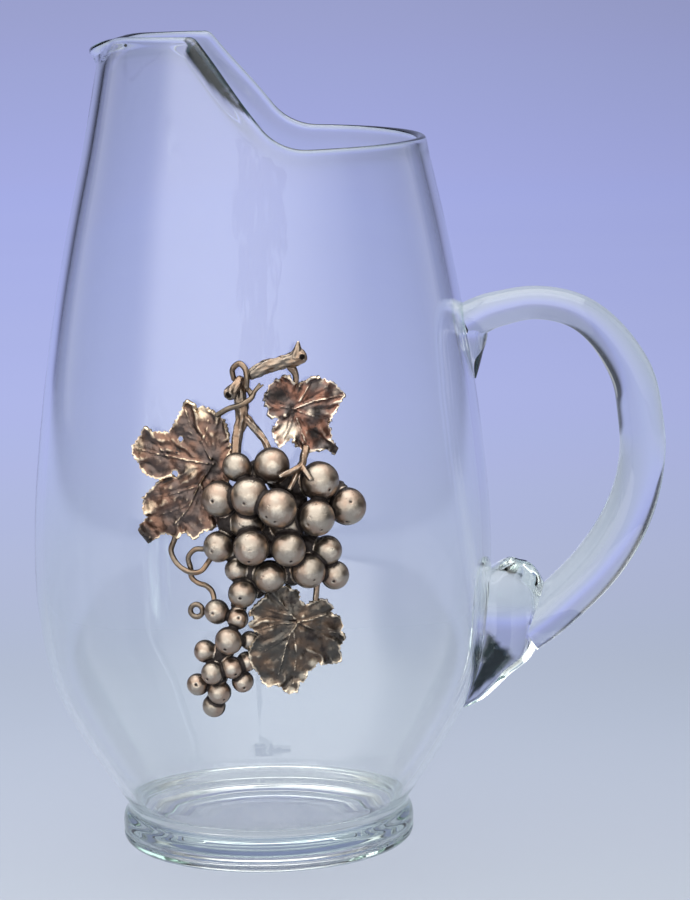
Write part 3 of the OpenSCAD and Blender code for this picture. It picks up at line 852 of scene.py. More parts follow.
    def _settle(self, piece: bpy.types.Object, rows: Sequence[Row]) -> None:
        """Moves each vertex of the spun grid to its place on the slanted bowl.

        Args:
            piece: The spun grid, whose vertices know their row.
            rows: What each row is: a fixed ring, wall, tail under the rim, or bead.
        """
        angles, heights = self.rim_line()
        n = self.columns
        mids = [self.mid(a, z) for a, z in zip(angles, heights)]
        ups: list[Vector] = []
        for i in range(n):
            along = (mids[(i + 1) % n] - mids[i - 1]).normalized()
            up = self._normal(angles[i], heights[i]).cross(along)
            ups.append(up.normalized() * (1 if up.z > 0 else -1))
        for _ in range(24):
            ups = [(ups[i - 1] + ups[i] * 2 + ups[(i + 1) % n]).normalized() for i in range(n)]
        data = piece.data
        marks = [0] * len(data.vertices)
        data.attributes["row"].data.foreach_get("value", marks)
        for vertex, j in zip(data.vertices, marks):
            kind, side, value = rows[j]
            turn = math.atan2(vertex.co.y, vertex.co.x) % (2 * math.pi)
            i = round(turn / (2 * math.pi) * n) % n
            if kind == "at":
                vertex.co = Vector((side * math.cos(turn), side * math.sin(turn), value)) * MM
                continue
            top = angles[i] + (2 * math.pi if i == 0 and angles[i] > 3 else 0)
            flat_turn = 2 * math.pi * i / n
            height = heights[i] - self.hold
            bead = self._bead(mids[i].x, heights[i])
            if kind == "bead":
                depth = value * bead
                half = math.sqrt(max(bead**2 - (bead - depth) ** 2, 0.0))
            elif kind == "tail":
                depth = bead + value
                half = self.wall / 2 + (bead - self.wall / 2) * math.exp(-((value / 3.0) ** 2))
            else:
                first = bead + self.under_rim[-1]
                depth = first + (height - first) * value
                half = self.wall / 2
            down = mids[i] - ups[i] * depth
            rim_turn = math.atan2(down.y, down.x) % (2 * math.pi)
            if i == 0 or abs(rim_turn - top) > 3:
                rim_turn = top
            share = depth / height
            col_z = heights[i] - depth
            col_turn = lerp(top, flat_turn, smooth(share))
            mixed = smooth(depth, 1.5, 15.0)
            a = lerp(rim_turn, col_turn, mixed)
            z = lerp(down.z, col_z, mixed)
            vertex.co = (self.mid(a, z) + self._normal(a, z) * half * side) * MM


@dataclass
class GlassHandle:
    """Drawn rod, looped from the shoulder to a pressed pad on the bowl."""

    top_z: float = 158.0
    low_z: float = 68.0
    out: float = 48.0
    belly: float = 71.5
    rod_d: float = 14.4
    drip_l: float = 12.0
    tail_l: float = 27.0
    pad_w: float = 24.0
    sides: int = 56
    rod: tuple[tuple[float, float, float, float], ...] = (
        (-0.20, 1.00, 0.50, 0.50), (-0.03, 1.11, 0.44, 0.46), (0.10, 1.19, 0.40, 0.44),
        (0.20, 1.22, 0.38, 0.43), (0.38, 1.26, 0.36, 0.42), (0.60, 1.22, 0.37, 0.43),
        (0.76, 1.11, 0.39, 0.45), (0.89, 0.93, 0.43, 0.47), (0.98, 0.71, 0.47, 0.49),
        (1.00, 0.49, 0.49, 0.50), (1.01, 0.26, 0.50, 0.50), (0.97, 0.00, 0.51, 0.51),
        (0.90, -0.22, 0.53, 0.52), (0.79, -0.44, 0.55, 0.54), (0.65, -0.64, 0.55, 0.55),
        (0.50, -0.80, 0.55, 0.56), (0.35, -0.95, 0.54, 0.56), (0.22, -1.06, 0.52, 0.55),
    )
    drip: tuple[tuple[float, float, float], ...] = (
        (-1.00, 0.4, 0.6), (-0.75, 1.8, 2.4), (-0.40, 3.6, 4.4), (0.05, 6.0, 6.2),
        (0.50, 6.0, 6.2),
    )
    pad: tuple[tuple[float, float, float, float], ...] = (
        (-1.00, 0.6, 1.8, 0.08), (-0.86, 1.5, 6.0, 0.22), (-0.62, 2.0, 10.0, 0.42),
        (-0.40, 2.0, 13.8, 0.62), (-0.14, 1.0, 17.4, 0.84), (0.14, 0.0, 17.4, 1.00),
        (0.36, -0.5, 17.4, 0.94), (0.48, -1.0, 16.4, 0.84), (0.56, -1.0, 13.6, 0.70),
        (0.62, -0.5, 9.2, 0.50), (0.65, 0.0, 4.5, 0.30),
    )

    def _tube(self, name: str, route: Sequence[Sequence[float]]) -> bpy.types.Object:
        """Tube whose route lies in the handle's plane.

        Args:
            name: The piece's name.
            route: X, Z, half height and half width along it.

        Returns:
            The closed tube.
        """
        rings = []
        for i, (x, z, high, wide) in enumerate(route):
            before, after = route[max(i - 1, 0)], route[min(i + 1, len(route) - 1)]
            along = Vector((after[0] - before[0], 0, after[1] - before[1])).normalized()
            up = Vector((0, 1, 0)).cross(along)
            rings.append([
                Vector((x, 0, z)) + up * high * math.cos(a) + Vector((0, wide * math.sin(a), 0))
                for a in (2 * math.pi * k / self.sides for k in range(self.sides))
            ])
        return loft(name, rings)

    def _core(self) -> bpy.types.Object:
        """Solid that reaches to the middle of the bowl's wall."""
        rings = []
        for i in range(61):
            z = 20 + 200 * i / 60
            r = OUTLINE.radius(z) - 1.3
            rings.append([
                Vector((r * math.cos(a), r * math.sin(a), z))
                for a in (2 * math.pi * k / 180 for k in range(180))
            ])
        return loft("bowl_core", rings)

    def build(self) -> list[bpy.types.Object]:
        """Builds the rod, its drip and the pad, each ending inside the bowl's wall."""
        top_r, low_r = OUTLINE.radius(self.top_z), OUTLINE.radius(self.low_z)
        mid, half = (self.top_z + self.low_z) / 2, (self.top_z - self.low_z) / 2
        reach = self.out + self.belly - (top_r + low_r) / 2
        route = []
        for out, up, high, wide in self.rod:
            base = lerp(low_r, top_r, min(max((up + 1) / 2, 0.0), 1.0))
            thick = [self.rod_d * high, self.rod_d * wide]
            route.append([base + reach * out, mid + half * up, *thick])
        bent = np.array(smooth_route(route, 12))
        for _ in range(30):
            bent[1:-1] = (bent[:-2] + bent[1:-1] * 2 + bent[2:]) / 4
        rod = self._tube("handle_rod", bent.tolist())
        low = []
        for share, deep, wide in self.drip:
            z = self.top_z + self.drip_l * share
            low.append([OUTLINE.radius(z), z, deep, wide])
        drip = self._tube("handle_drip", smooth_route(low, 5))
        seat = []
        for share, sunk, deep, wide in self.pad:
            z = self.low_z + self.tail_l * share
            seat.append([OUTLINE.radius(z) - sunk, z, deep, wide * self.pad_w / 2])
        pad = self._tube("handle_pad_solid", smooth_route(seat, 5))
        core = self._core()
        for piece in (rod, drip, pad):
            apply(piece, "BOOLEAN", operation="DIFFERENCE", object=core, solver="EXACT")
        drop(core)
        return [rod, drip, pad]


def paint_dark_refraction(bowl: bpy.types.Object, pitcher: Pitcher) -> None:
    """Paints dark refraction into the glass's colour along the rim and on the pad's tail, with a
    painted highlight line in the rim's band, and paints the foot a little darker.

    Args:
        bowl: The fused glass.
        pitcher: The bowl's sizes, for the line of its rim.
    """
    places = places_of(bowl)
    angles, heights = pitcher.rim_line()
    rim = np.array([pitcher.mid(a, z) for a, z in zip(angles, heights)])
    best = np.full(len(places), 1e9)
    index = np.zeros(len(places), int)
    for i, point in enumerate(rim):
        gap = np.linalg.norm(places - point, axis=1)
        index = np.where(gap < best, i, index)
        best = np.minimum(gap, best)
    x, near = rim[index, 0], rim[index, 1] < 0
    # painted dark refraction: a wide dark band along the near side of the rim's ramp and a thin
    # dark line round the rest of the rim
    wide = 5.4 * ease(x, -19.5, -14.5) * (1 - ease(x, -12.0, 7.0)) ** 0.7
    band = np.where(near, np.maximum(wide, 1.4), 1.1)
    depth = 1 - ease(best, band * 0.88, band * 1.04 + 0.1)
    # a painted highlight line left undarkened inside the dark band
    painted_highlight_streak = 1 - 0.7 * np.exp(-(((best - 1.9) / 0.45) ** 2)) * (wide > 3)
    edge = depth * np.where(near & (wide > 1.4), painted_highlight_streak, np.where(near & (x > 0), 0.85, 0.35))
    # painted dark refraction on the pad's tail, inside a triangle in the side view
    side, up = places[:, 0], places[:, 2]
    proud = np.hypot(side, places[:, 1]) - np.interp(up, HEIGHTS, RADII)
    tail = ease(proud, 0.05, 0.4) * (np.abs(places[:, 1]) < 16)
    corners = ((60.0, 39.5), (77.5, 58.0), (70.4, 67.0))
    for (x0, z0), (x1, z1) in zip(corners, corners[1:] + corners[:1]):
        length = math.hypot(x1 - x0, z1 - z0)
        inward = ((x1 - x0) * (up - z0) - (z1 - z0) * (side - x0)) / length
        tail = tail * ease(inward, -0.2, 0.5)
    # the foot and the floor above it are painted a little darker than the wall
    foot = 0.26 * (1 - ease(up, 7.0, 12.0)) + 0.05 * (1 - ease(up, 12.0, 30.0))
    edge = np.maximum(np.maximum(edge, tail), foot)
    carry(bowl, "edge", edge)


def fuse_glass(pitcher: Pitcher, handle: GlassHandle, finish: ClearGlass) -> None:
    """Joins bowl, rod, drip and pad to the one piece of glass that they are."""
    bowl = pitcher.build()
    for piece in handle.build():
        apply(bowl, "BOOLEAN", operation="UNION", object=piece, solver="EXACT")
        drop(piece)
    paint_dark_refraction(bowl, pitcher)
    dress(
        bowl, finish.build(), ["vessel", "foot_ring", "handle", "handle_pad"], 50.0
    )
    bowl.visible_shadow = False
    bowl.visible_diffuse = False


# ---- the casting ----------------------------------------------------------------


def wear_shade_and_highlight(
    piece: bpy.types.Object,
    reach: int,
    depth: float,
    extra: Callable[[np.ndarray], np.ndarray] | None = None,
    sides: float = 0.0,
    front: float = 0.0,
) -> None:
    """Marks a mesh's hollows and crests, which the metal's finish reads, and paints shade on its
    sides and highlights on its fronts.

    Args:
        piece: The piece.
        reach: Rounds of smoothing that a hollow or crest is measured against.
        depth: Depth in millimetres at which a hollow is fully dark.
        extra: Further darkening at places in millimetres, 0 to 1.
        sides: Painted shade on faces that look along the glass.
        front: Painted highlight on the faces that look straight out.
    """
    data = piece.data
    count = len(data.vertices)
    places, normals = places_of(piece), normals_of(piece)
    edges = np.zeros(len(data.edges) * 2, np.int64)
    data.edges.foreach_get("vertices", edges)
    a, b = edges[0::2], edges[1::2]
    links = np.bincount(np.concatenate((a, b)), minlength=count).reshape(-1, 1)
    even = places.copy()
    for _ in range(reach):
        total = np.stack(
            [
                np.bincount(a, even[b, k], count) + np.bincount(b, even[a, k], count)
                for k in range(3)
            ],
            1,
        )
        even = (even + total / np.maximum(links, 1)) / 2
    out = ((places - even) * normals).sum(1) / depth
    grime_and_shade = np.clip(-out, 0, 1)
    if extra is not None:
        grime_and_shade = np.maximum(grime_and_shade, extra(places))
    away = places[:, :2] / np.maximum(np.hypot(places[:, 0], places[:, 1]), 1e-6)[:, None]
    facing = (normals[:, :2] * away).sum(1)
    # painted shade on faces that look along the glass
    grime_and_shade = np.maximum(grime_and_shade, sides * (1 - ease(facing, 0.12, 0.66)))
    # rubbed crests, and a painted highlight on faces that look straight out
    rub_and_highlight = np.maximum(np.clip(out, 0, 1), front * ease(facing, 0.78, 1.0))
    carry(piece, "grime_and_shade", grime_and_shade)
    carry(piece, "rub_and_highlight", rub_and_highlight)


def melt(name: str, parts: Sequence[bpy.types.Object], voxel: float) -> bpy.types.Object:
    """Joins closed parts and recasts them as one skin.

    Args:
        name: The new piece's name.
        parts: The parts, which overlap where they meet.
        voxel: Grain of the new skin in millimetres.

    Returns:
        The one piece.
    """
    bpy.ops.object.select_all(action="DESELECT")
    for part in parts:
        part.select_set(True)
    bpy.context.view_layer.objects.active = parts[0]
    if len(parts) > 1:
        bpy.ops.object.join()
    piece = bpy.context.object
    piece.name = name
    piece.data.name = name
    apply(piece, "REMESH", mode="VOXEL", voxel_size=voxel * MM, adaptivity=0.0)
    return piece


def off_glass(piece: bpy.types.Object, gap: float = 0.0) -> None:
    """Flattens the back of a cast piece to the adhesive's face.

    Args:
        piece: The piece.
        gap: Distance that it keeps from the adhesive's face, millimetres.
    """
    places = places_of(piece)
    short = np.maximum(gap - lift_of(places), 0)
    far = np.maximum(np.hypot(places[:, 0], places[:, 1]), 1e-6)
    places[:, :2] *= ((far + short) / far)[:, None]
    move_to(piece, places)


Ball = tuple[float, float, float, float]


@dataclass
class GrapeBunch:
    """Cast grapes that are joined behind by low rough metal."""

    name: str
    node: str
    grapes: tuple[Ball, ...]
    web: tuple[Ball, ...]
    # which grape, then the turn and the lift of the scar on it, in degrees
    pits: tuple[Place, ...]
    voxel: float = 0.34

    def _berry(self, index: int, ball: Ball) -> bpy.types.Object:
        """One grape, not quite round."""
        centre = OUTLINE.over(*ball[:3])
        berry = start(
            f"berry_{index}", bpy.ops.mesh.primitive_ico_sphere_add,
            subdivisions=5, radius=ball[3] * MM, location=centre * MM,
        )
        bpy.ops.object.transform_apply(location=True, rotation=False, scale=False)
        out = places_of(berry) - np.array(centre)
        shift = index * 2.7 + 0.5
        lump = grain_of(out, 0.16, shift) * 0.16 + grain_of(out, 0.5, shift) * 0.05
        move_to(berry, np.array(centre) + out * (1 + lump / ball[3])[:, None])
        return berry

    def build(self) -> None:
        """Builds and dresses the bunch."""
        balls = list(self.grapes) + list(self.web)
        parts = [self._berry(i, ball) for i, ball in enumerate(balls)]
        piece = melt(self.name, parts, self.voxel)
        off_glass(piece)
        centres = np.array([OUTLINE.over(*ball[:3]) for ball in self.grapes])
        radii = np.array([ball[3] for ball in self.grapes])
        scars = []
        for index, turn, lift in self.pits:
            t, l = math.radians(turn), math.radians(lift)
            toward = (math.sin(t) * math.cos(l), -math.cos(t) * math.cos(l), math.sin(l))
            scars.append(centres[int(index)] + np.array(toward) * radii[int(index)])

        def gaps_to(places: np.ndarray, spots: np.ndarray) -> np.ndarray:
            """Distances from every place to every spot."""
            return np.linalg.norm(places[:, None, :] - spots[None, :, :], axis=2)

        places = places_of(piece)
        scar = gaps_to(places, np.array(scars)).min(1)
        off = np.abs(gaps_to(places, centres) - radii).min(1)
        push = -0.34 * (1 - ease(scar, 0.15, 0.75))
        push += np.where(off > 0.5, grain_of(places, 0.8) * 0.35, 0)
        move_to(piece, places + normals_of(piece) * push[:, None])

        def dirt_and_shade(places: np.ndarray) -> np.ndarray:
            """Dark patina in the clefts between grapes, on the web and in the scars, and painted
            shade low down next to the glass.
            """
            near = np.sort(gaps_to(places, centres) - radii, 1)
            cleft = np.where(near[:, 0] < 0.4, 1 - ease(near[:, 1], 0.15, 1.9), 0.8)
            # painted shade on the low, back part of each grape next to the glass
            low = 0.9 * (1 - ease(lift_of(places), 0.6, 3.2))
            pit = 1 - ease(gaps_to(places, np.array(scars)).min(1), 0.25, 0.7)
            return np.maximum(np.maximum(cleft, low), pit)

        # painted shade on the grapes' sides and a painted highlight on their fronts
        wear_shade_and_highlight(piece, 30, 1.2, dirt_and_shade, 0.92, 0.5)
        dress(piece, pewter(Cast.GRAPE), [self.node], 70.0)


@dataclass
class Vein:
    """Raised or sunk line on a leaf: its places, height and half width."""

    line: tuple[Flat, ...]
    height: float
    width: float = 0.45


@dataclass
class VineLeaf:
    """Cast vine leaf with a toothed edge, veins, folds and a curled tip."""

    name: str
    node: str
    hub: Place
    edge: tuple[Place, ...]
    veins: tuple[Vein, ...]
    bulges: tuple[tuple[float, float, float, float], ...] = ()
    holes: tuple[Place, ...] = ()
    curls: tuple[tuple[float, float, float, float], ...] = ()
    folds: int = 34
    fold_depth: float = 0.42
    thick: float = 1.1
    grain: float = 0.42
    seed: float = 0.0
    vein_wide: float = 0.72
    cast: Cast = Cast.LEFT_LEAF
    spots: tuple[tuple[float, float, float, float], ...] = ()

    def _outline(self) -> list[Flat]:
        """The edge with fine teeth between its measured points."""
        points: list[Flat] = []
        count = len(self.edge)
        for k, point in enumerate(self.edge):
            after = self.edge[(k + 1) % count]
            length = math.hypot(after[0] - point[0], after[1] - point[1])
            steps = max(3, round(length / 0.34))
            nx, ny = (after[1] - point[1]) / length, -(after[0] - point[0]) / length
            for j in range(steps):
                t = j / steps
                saws = max(1, round(length / 1.5))
                tooth = 0.55 * (t * saws % 1.0) ** 1.4 if length > 1.0 and j else 0.0
                spot = Vector((point[0] + t * 7, point[1] * 1.3, self.seed))
                ripple = noise.noise(spot) * 0.22
                off = tooth + ripple * (1 if j else 0)
                points.append(
                    (lerp(point[0], after[0], t) + nx * off, lerp(point[1], after[1], t) + ny * off)
                )
        return points

    def _heights(self, places: np.ndarray, outline: Sequence[Flat]) -> np.ndarray:
        """Heights of the leaf's face over the adhesive."""
        from_hub = places - np.array(self.hub[:2])
        far = np.hypot(from_hub[:, 0], from_hub[:, 1])
        turn = np.arctan2(from_hub[:, 1], from_hub[:, 0])
        rim = np.array([(e[0], e[1]) for e in self.edge])
        near = 1 / (np.linalg.norm(places[:, None, :] - rim[None, :, :], axis=2) + 0.4) ** 2
        edge_h = near @ np.array([e[2] for e in self.edge]) / near.sum(1)
        height = self.hub[2] + (edge_h - self.hub[2]) * ease(far, 0.0, 14.0)
        inner = reach_to(places, [*outline, outline[0]])[0]
        folds = np.sin(turn * self.folds / 2 + grain_of(from_hub, 0.2, self.seed) * 5)
        height += folds * self.fold_depth * ease(far, 2.0, 11.0) * (1 - 0.3 * ease(inner, 0, 4))
        height += grain_of(places, 0.35, self.seed) * 0.5
        height += grain_of(places, 0.9, self.seed + 5) * 0.16
        for vein in self.veins:
            gap, along = reach_to(places, vein.line)
            wide = vein.width * (1.1 - 0.5 * along) * (self.vein_wide if vein.height > 0 else 0.8)
            high = vein.height * (0.72 if vein.height > 0 else 0.62)
            height += high * (1 - 0.45 * along) * np.exp(-((gap / wide) ** 2))
            if vein.height > 0:
                height -= 0.13 * np.exp(-(((gap - 2.6 * wide) / (1.4 * wide)) ** 2))
        for bx, by, size, lift in self.bulges:
            gap = np.hypot(places[:, 0] - bx, places[:, 1] - by) / size
            height += lift * np.exp(-gap * gap)
        height += 0.45 * (1 - ease(inner, 0.0, 1.1)) * (0.4 + folds * 0.5)
        return np.maximum(height, self.thick + 0.12)

    def _stain(self, piece: bpy.types.Object) -> None:
        """Adds the leaf's own dark places, and its rubbed ones, which are below 0."""
        places = places_of(piece)
        for name, sign in (("grime_and_shade", 1.0), ("rub_and_highlight", -1.0)):
            data = piece.data.attributes[name].data
            values = np.zeros(len(places), np.float32)
            data.foreach_get("value", values)
            for x, v, size, amount in self.spots:
                far = np.hypot(places[:, 0] - x, places[:, 2] - OUTLINE.middle - v) / size
                part = sign * amount * np.exp(-(far**2))
                values = np.maximum(values, part) * (1 - 0.8 * np.maximum(-part, 0))
            carry(piece, name, values)

    def build(self) -> None:
        """Builds and dresses the leaf."""
        outline = self._outline()
        xs, ys = [p[0] for p in outline], [p[1] for p in outline]
        points = [Vector(p) for p in outline]
        edges = [(i, (i + 1) % len(outline)) for i in range(len(outline))]
        for hx, hy, hr in self.holes:
            first = len(points)
            points += [
                Vector((hx + hr * math.cos(a) * (1 + 0.2 * math.sin(3 * a)), hy + hr * math.sin(a)))
                for a in (2 * math.pi * k / 14 for k in range(14))
            ]
            edges += [(first + k, first + (k + 1) % 14) for k in range(14)]
        grid = np.array([
            (x + (self.grain / 2 if row % 2 else 0), y)
            for row, y in enumerate(np.arange(min(ys), max(ys), self.grain * 0.866))
            for x in np.arange(min(xs), max(xs), self.grain)
        ])
        keep = self._inside(grid, outline)
        keep &= reach_to(grid, [*outline, outline[0]])[0] > self.grain * 0.6
        for hx, hy, hr in self.holes:
            keep &= np.hypot(grid[:, 0] - hx, grid[:, 1] - hy) > hr * 1.25 + 0.2
        points += [Vector(p) for p in grid[keep]]
        found = delaunay_2d_cdt(points, edges, [], 0, 1e-5)
        flats = np.array([(v.x, v.y) for v in found[0]])
        corners = np.array([list(face) for face in found[2]])
        middles = flats[corners].mean(1)
        keep = self._inside(middles, outline)
        for hx, hy, hr in self.holes:
            keep &= np.hypot(middles[:, 0] - hx, middles[:, 1] - hy) > hr * 0.9
        corners = corners[keep]
        used, corners = np.unique(corners, return_inverse=True)
        faces = [tuple(int(i) for i in face) for face in corners.reshape(-1, 3)]
        flats = flats[used]
        verts = []
        for (x, v), h in zip(flats.tolist(), self._heights(flats, outline).tolist()):
            for ox, oy, turn, bend in self.curls:
                a = math.radians(turn)
                d = (x - ox) * math.cos(a) + (v - oy) * math.sin(a)
                if d > 0:
                    step = bend * math.sin(min(d / bend, 3.6)) - d
                    x, v = x + step * math.cos(a), v + step * math.sin(a)
                    h += bend * (1 - math.cos(min(d / bend, 3.6)))
            verts.append(OUTLINE.over(x, v, h) * MM)
        data = bpy.data.meshes.new(self.name)
        data.from_pydata(verts, [], faces)
        piece = bpy.data.objects.new(self.name, data)
        bpy.context.collection.objects.link(piece)
        edit(piece)
        bpy.ops.mesh.normals_make_consistent(inside=False)
        bpy.ops.object.mode_set(mode="OBJECT")
        facing = sum(p.normal.y * p.area for p in data.polygons)
        if facing > 0:
            edit(piece)
            bpy.ops.mesh.flip_normals()
            bpy.ops.object.mode_set(mode="OBJECT")
        apply(piece, "SOLIDIFY", thickness=self.thick * MM, offset=-1.0, use_even_offset=False)
        # painted shade on faces that look along the glass
        wear_shade_and_highlight(piece, 14, 0.5, None, 0.8)
        self._stain(piece)
        dress(piece, pewter(self.cast), [self.node], 75.0)

    @staticmethod
    def _inside(places: np.ndarray, outline: Sequence[Flat]) -> np.ndarray:
        """Which places lie inside the outline."""
        x, y = places[:, 0], places[:, 1]
        inside = np.zeros(len(places), bool)
        for (xi, yi), (xj, yj) in zip(outline, [outline[-1], *outline[:-1]]):
            crossed = (yi > y) != (yj > y)
            rise = yj - yi if yj != yi else 1e-12
            inside ^= crossed & (x < (xj - xi) * (y - yi) / rise + xi)
        return inside


Stem = tuple[tuple[float, float, float, float], ...]


@dataclass
class VineRod:
    """Cane, stalk or tendril: stems that run into each other."""

    name: str
    node: str
    stems: tuple[Stem, ...]
    cast: Cast = Cast.BARK
    voxel: float = 0.2
    ridges: int = 5
    bark: float = 0.14
    bores: tuple[tuple[float, float, float, float, float, float, float], ...] = ()
    mouth: float = -0.15

    def _stem(self, index: int, stem: Stem) -> bpy.types.Object:
        """One stem with a rounded end at each side."""
        route = smooth_route(stem, 6)
        centres = [OUTLINE.over(p[0], p[1], p[2]) for p in route]
        rings: list[list[Vector]] = []
        last = len(route) - 1
        for i, (point, centre) in enumerate(zip(route, centres)):
            along = (centres[min(i + 1, last)] - centres[max(i - 1, 0)]).normalized()
            side = Vector((centre.x, centre.y, 0)).normalized().cross(along).normalized()
            up = along.cross(side)
            radius = point[3]
            ends = [(0.0, 1.0)]
            if i == 0:
                ends = [(-0.62, 0.35), (-0.45, 0.75), (0.0, 1.0)]
            elif i == last:
                ends = [(0.0, 1.0), (0.45, 0.75), (0.62, 0.35)]
            for shift, share in ends:
                ring = []
                for k in range(18):
                    a = 2 * math.pi * k / 18
                    rough = 1 + self.bark * math.sin(a * self.ridges + i * 0.35 + index)
                    spot = centre * 0.6 + Vector((math.cos(a), math.sin(a), index))
                    rough += noise.noise(spot) * self.bark * 1.6
                    r = radius * share * rough
                    out = (side * math.cos(a) + up * math.sin(a)) * r
                    ring.append(centre + along * shift * radius + out)
                rings.append(ring)
        return loft(f"{self.name}_stem_{index}", rings)

    def build(self) -> None:
        """Builds and dresses the rod."""
        parts = [self._stem(i, stem) for i, stem in enumerate(self.stems)]
        piece = melt(self.name, parts, self.voxel)
        for x0, v0, h0, x1, v1, h1, bore in self.bores:
            mouth, deep = OUTLINE.over(x1, v1, h1), OUTLINE.over(x0, v0, h0)
            axis = (mouth - deep).normalized()
            drill = start(
                "bore", bpy.ops.mesh.primitive_cone_add, vertices=24, radius1=bore * 0.7 * MM,
                radius2=bore * 1.25 * MM, depth=3.4 * MM, location=(mouth + axis * 0.4) * MM,
                rotation=axis.to_track_quat("Z", "Y").to_euler(),
            )
            bpy.ops.object.transform_apply(location=True, rotation=True, scale=True)
            apply(piece, "BOOLEAN", operation="DIFFERENCE", object=drill, solver="EXACT")
            drop(drill)
        off_glass(piece)

        def dirt_and_shade(places: np.ndarray) -> np.ndarray:
            """Painted shade low down next to the glass, and full dark inside a bore."""
            # painted shade next to the glass
            grime_and_shade = 0.7 * (1 - ease(lift_of(places), 0.4, 2.0))
            for x0, v0, h0, x1, v1, h1, bore in self.bores:
                mouth, end = OUTLINE.over(x1, v1, h1), OUTLINE.over(x0, v0, h0)
                axis = np.array((mouth - end).normalized())
                out = places - np.array(mouth)
                along = out @ axis
                beside = np.linalg.norm(out - along[:, None] * axis, axis=1)
                deep = (beside < bore) & (along > -2.2) & (along < self.mouth)
                grime_and_shade = np.where(deep, 1.0, grime_and_shade)
            return grime_and_shade

        # painted shade on the rod's sides
        wear_shade_and_highlight(piece, 12, 0.22, dirt_and_shade, 0.95)
        dress(piece, pewter(self.cast), [self.node], 70.0)


@dataclass
class TendrilRing:
    """Small closed ring beside the tip bunch."""

    place: Place = (-17.0, -21.4, 0.8)
    ring_r: float = 1.85
    rod_r: float = 0.8

    def build(self) -> None:
        """Builds and dresses the ring."""
        centre = OUTLINE.over(*self.place)
        out = Vector((centre.x, centre.y, 0)).normalized()
        ring = start(
            "small_tendril_ring", bpy.ops.mesh.primitive_torus_add, major_segments=56,
            minor_segments=20, major_radius=self.ring_r * MM, minor_radius=self.rod_r * MM,
            location=centre * MM, rotation=out.to_track_quat("Z", "Y").to_euler(),
        )
        bpy.ops.object.transform_apply(location=True, rotation=True, scale=True)
        places = places_of(ring)
        out_of = (places - np.array(centre)) * 0.04
        move_to(ring, places + out_of * grain_of(places, 0.9)[:, None])
        off_glass(ring)
        # painted shade on faces that look along the glass
        wear_shade_and_highlight(ring, 10, 0.3, None, 0.9)
        dress(ring, pewter(Cast.TENDRIL), ["tendril_ring"], 70.0)


MAIN_BUNCH = GrapeBunch(
    "main_grape_bunch",
    "main_bunch",
    (
        (-4.0, 22.0, 5.4, 4.3), (6.2, 22.4, 5.6, 5.3), (20.0, 17.4, 6.2, 5.8),
        (28.0, 9.2, 5.2, 5.6), (19.0, 7.3, 9.2, 5.5), (7.8, 11.0, 11.6, 5.9),
        (-0.3, 14.0, 8.5, 5.7), (-9.2, 12.8, 5.6, 5.3), (-1.3, 5.6, 4.4, 4.8),
        (-9.8, -1.5, 4.2, 4.6), (0.1, -0.7, 9.2, 5.4), (10.8, -1.4, 9.6, 5.1),
        (10.5, 5.0, 4.8, 5.2), (21.8, -3.3, 4.7, 4.4), (16.4, -8.8, 6.2, 5.1),
        (24.0, -11.0, 3.8, 4.3), (5.0, -10.2, 5.2, 4.8), (-4.6, -8.5, 3.2, 3.6),
        (-3.0, -15.2, 5.0, 4.2),
    ),
    (
        (1.4, 19.4, 1.8, 4.0), (13.2, 15.8, 2.0, 4.6), (24.6, 12.6, 2.0, 4.0),
        (-6.0, 5.4, 1.8, 4.4), (-5.4, -3.0, 1.6, 3.6), (0.4, -9.4, 1.8, 4.0),
        (16.2, -2.4, 2.0, 4.2), (1.2, -14.2, 1.6, 3.2), (11.0, -9.6, 2.2, 4.2),
        (4.6, 0.2, 1.2, 5.6), (8.6, 17.2, 1.4, 4.2), (12.6, 10.6, 1.2, 3.8),
        (20.2, -7.4, 1.6, 3.4), (20.8, 11.0, 1.4, 3.6), (-2.2, -5.6, 1.4, 3.4),
    ),
    (
        (7, -22, 2), (6, -16, -12), (5, -34, -18), (5, -6, -34), (4, -28, -14), (4, 22, -34),
        (9, -26, -8), (10, -10, -42), (11, 12, -36), (3, -4, -46), (2, 36, -20), (14, 24, -24),
        (18, -8, -8), (12, 10, -10), (3, 14, 24), (15, -4, -16),
    ),
)

TIP_BUNCH = GrapeBunch(
    "tip_grape_bunch",
    "tip_bunch",
    (
        (-10.8, -21.0, 3.4, 3.7), (-4.7, -23.0, 3.6, 3.2), (-1.2, -29.7, 3.2, 2.9),
        (-7.2, -29.0, 6.6, 4.1), (-14.5, -33.0, 3.8, 3.4), (-6.6, -37.5, 5.2, 3.4),
        (-12.4, -39.0, 6.6, 3.4), (-17.0, -43.5, 3.7, 3.3), (-2.3, -36.2, 3.4, 3.0),
        (-3.7, -42.3, 3.6, 3.3), (-10.6, -45.6, 4.4, 3.5), (-12.5, -50.2, 3.2, 3.4),
    ),
    (
        (-9.8, -34.2, 2.6, 3.6), (-11.4, -41.0, 3.0, 3.2), (-4.2, -19.6, 2.2, 2.4),
    ),
    (
        (0, -18, 2), (3, -18, -28), (5, 24, -30), (9, 12, -26), (10, 30, -30), (6, -30, -24),
        (1, 10, 16), (7, -8, 12),
    ),
    0.27,
)

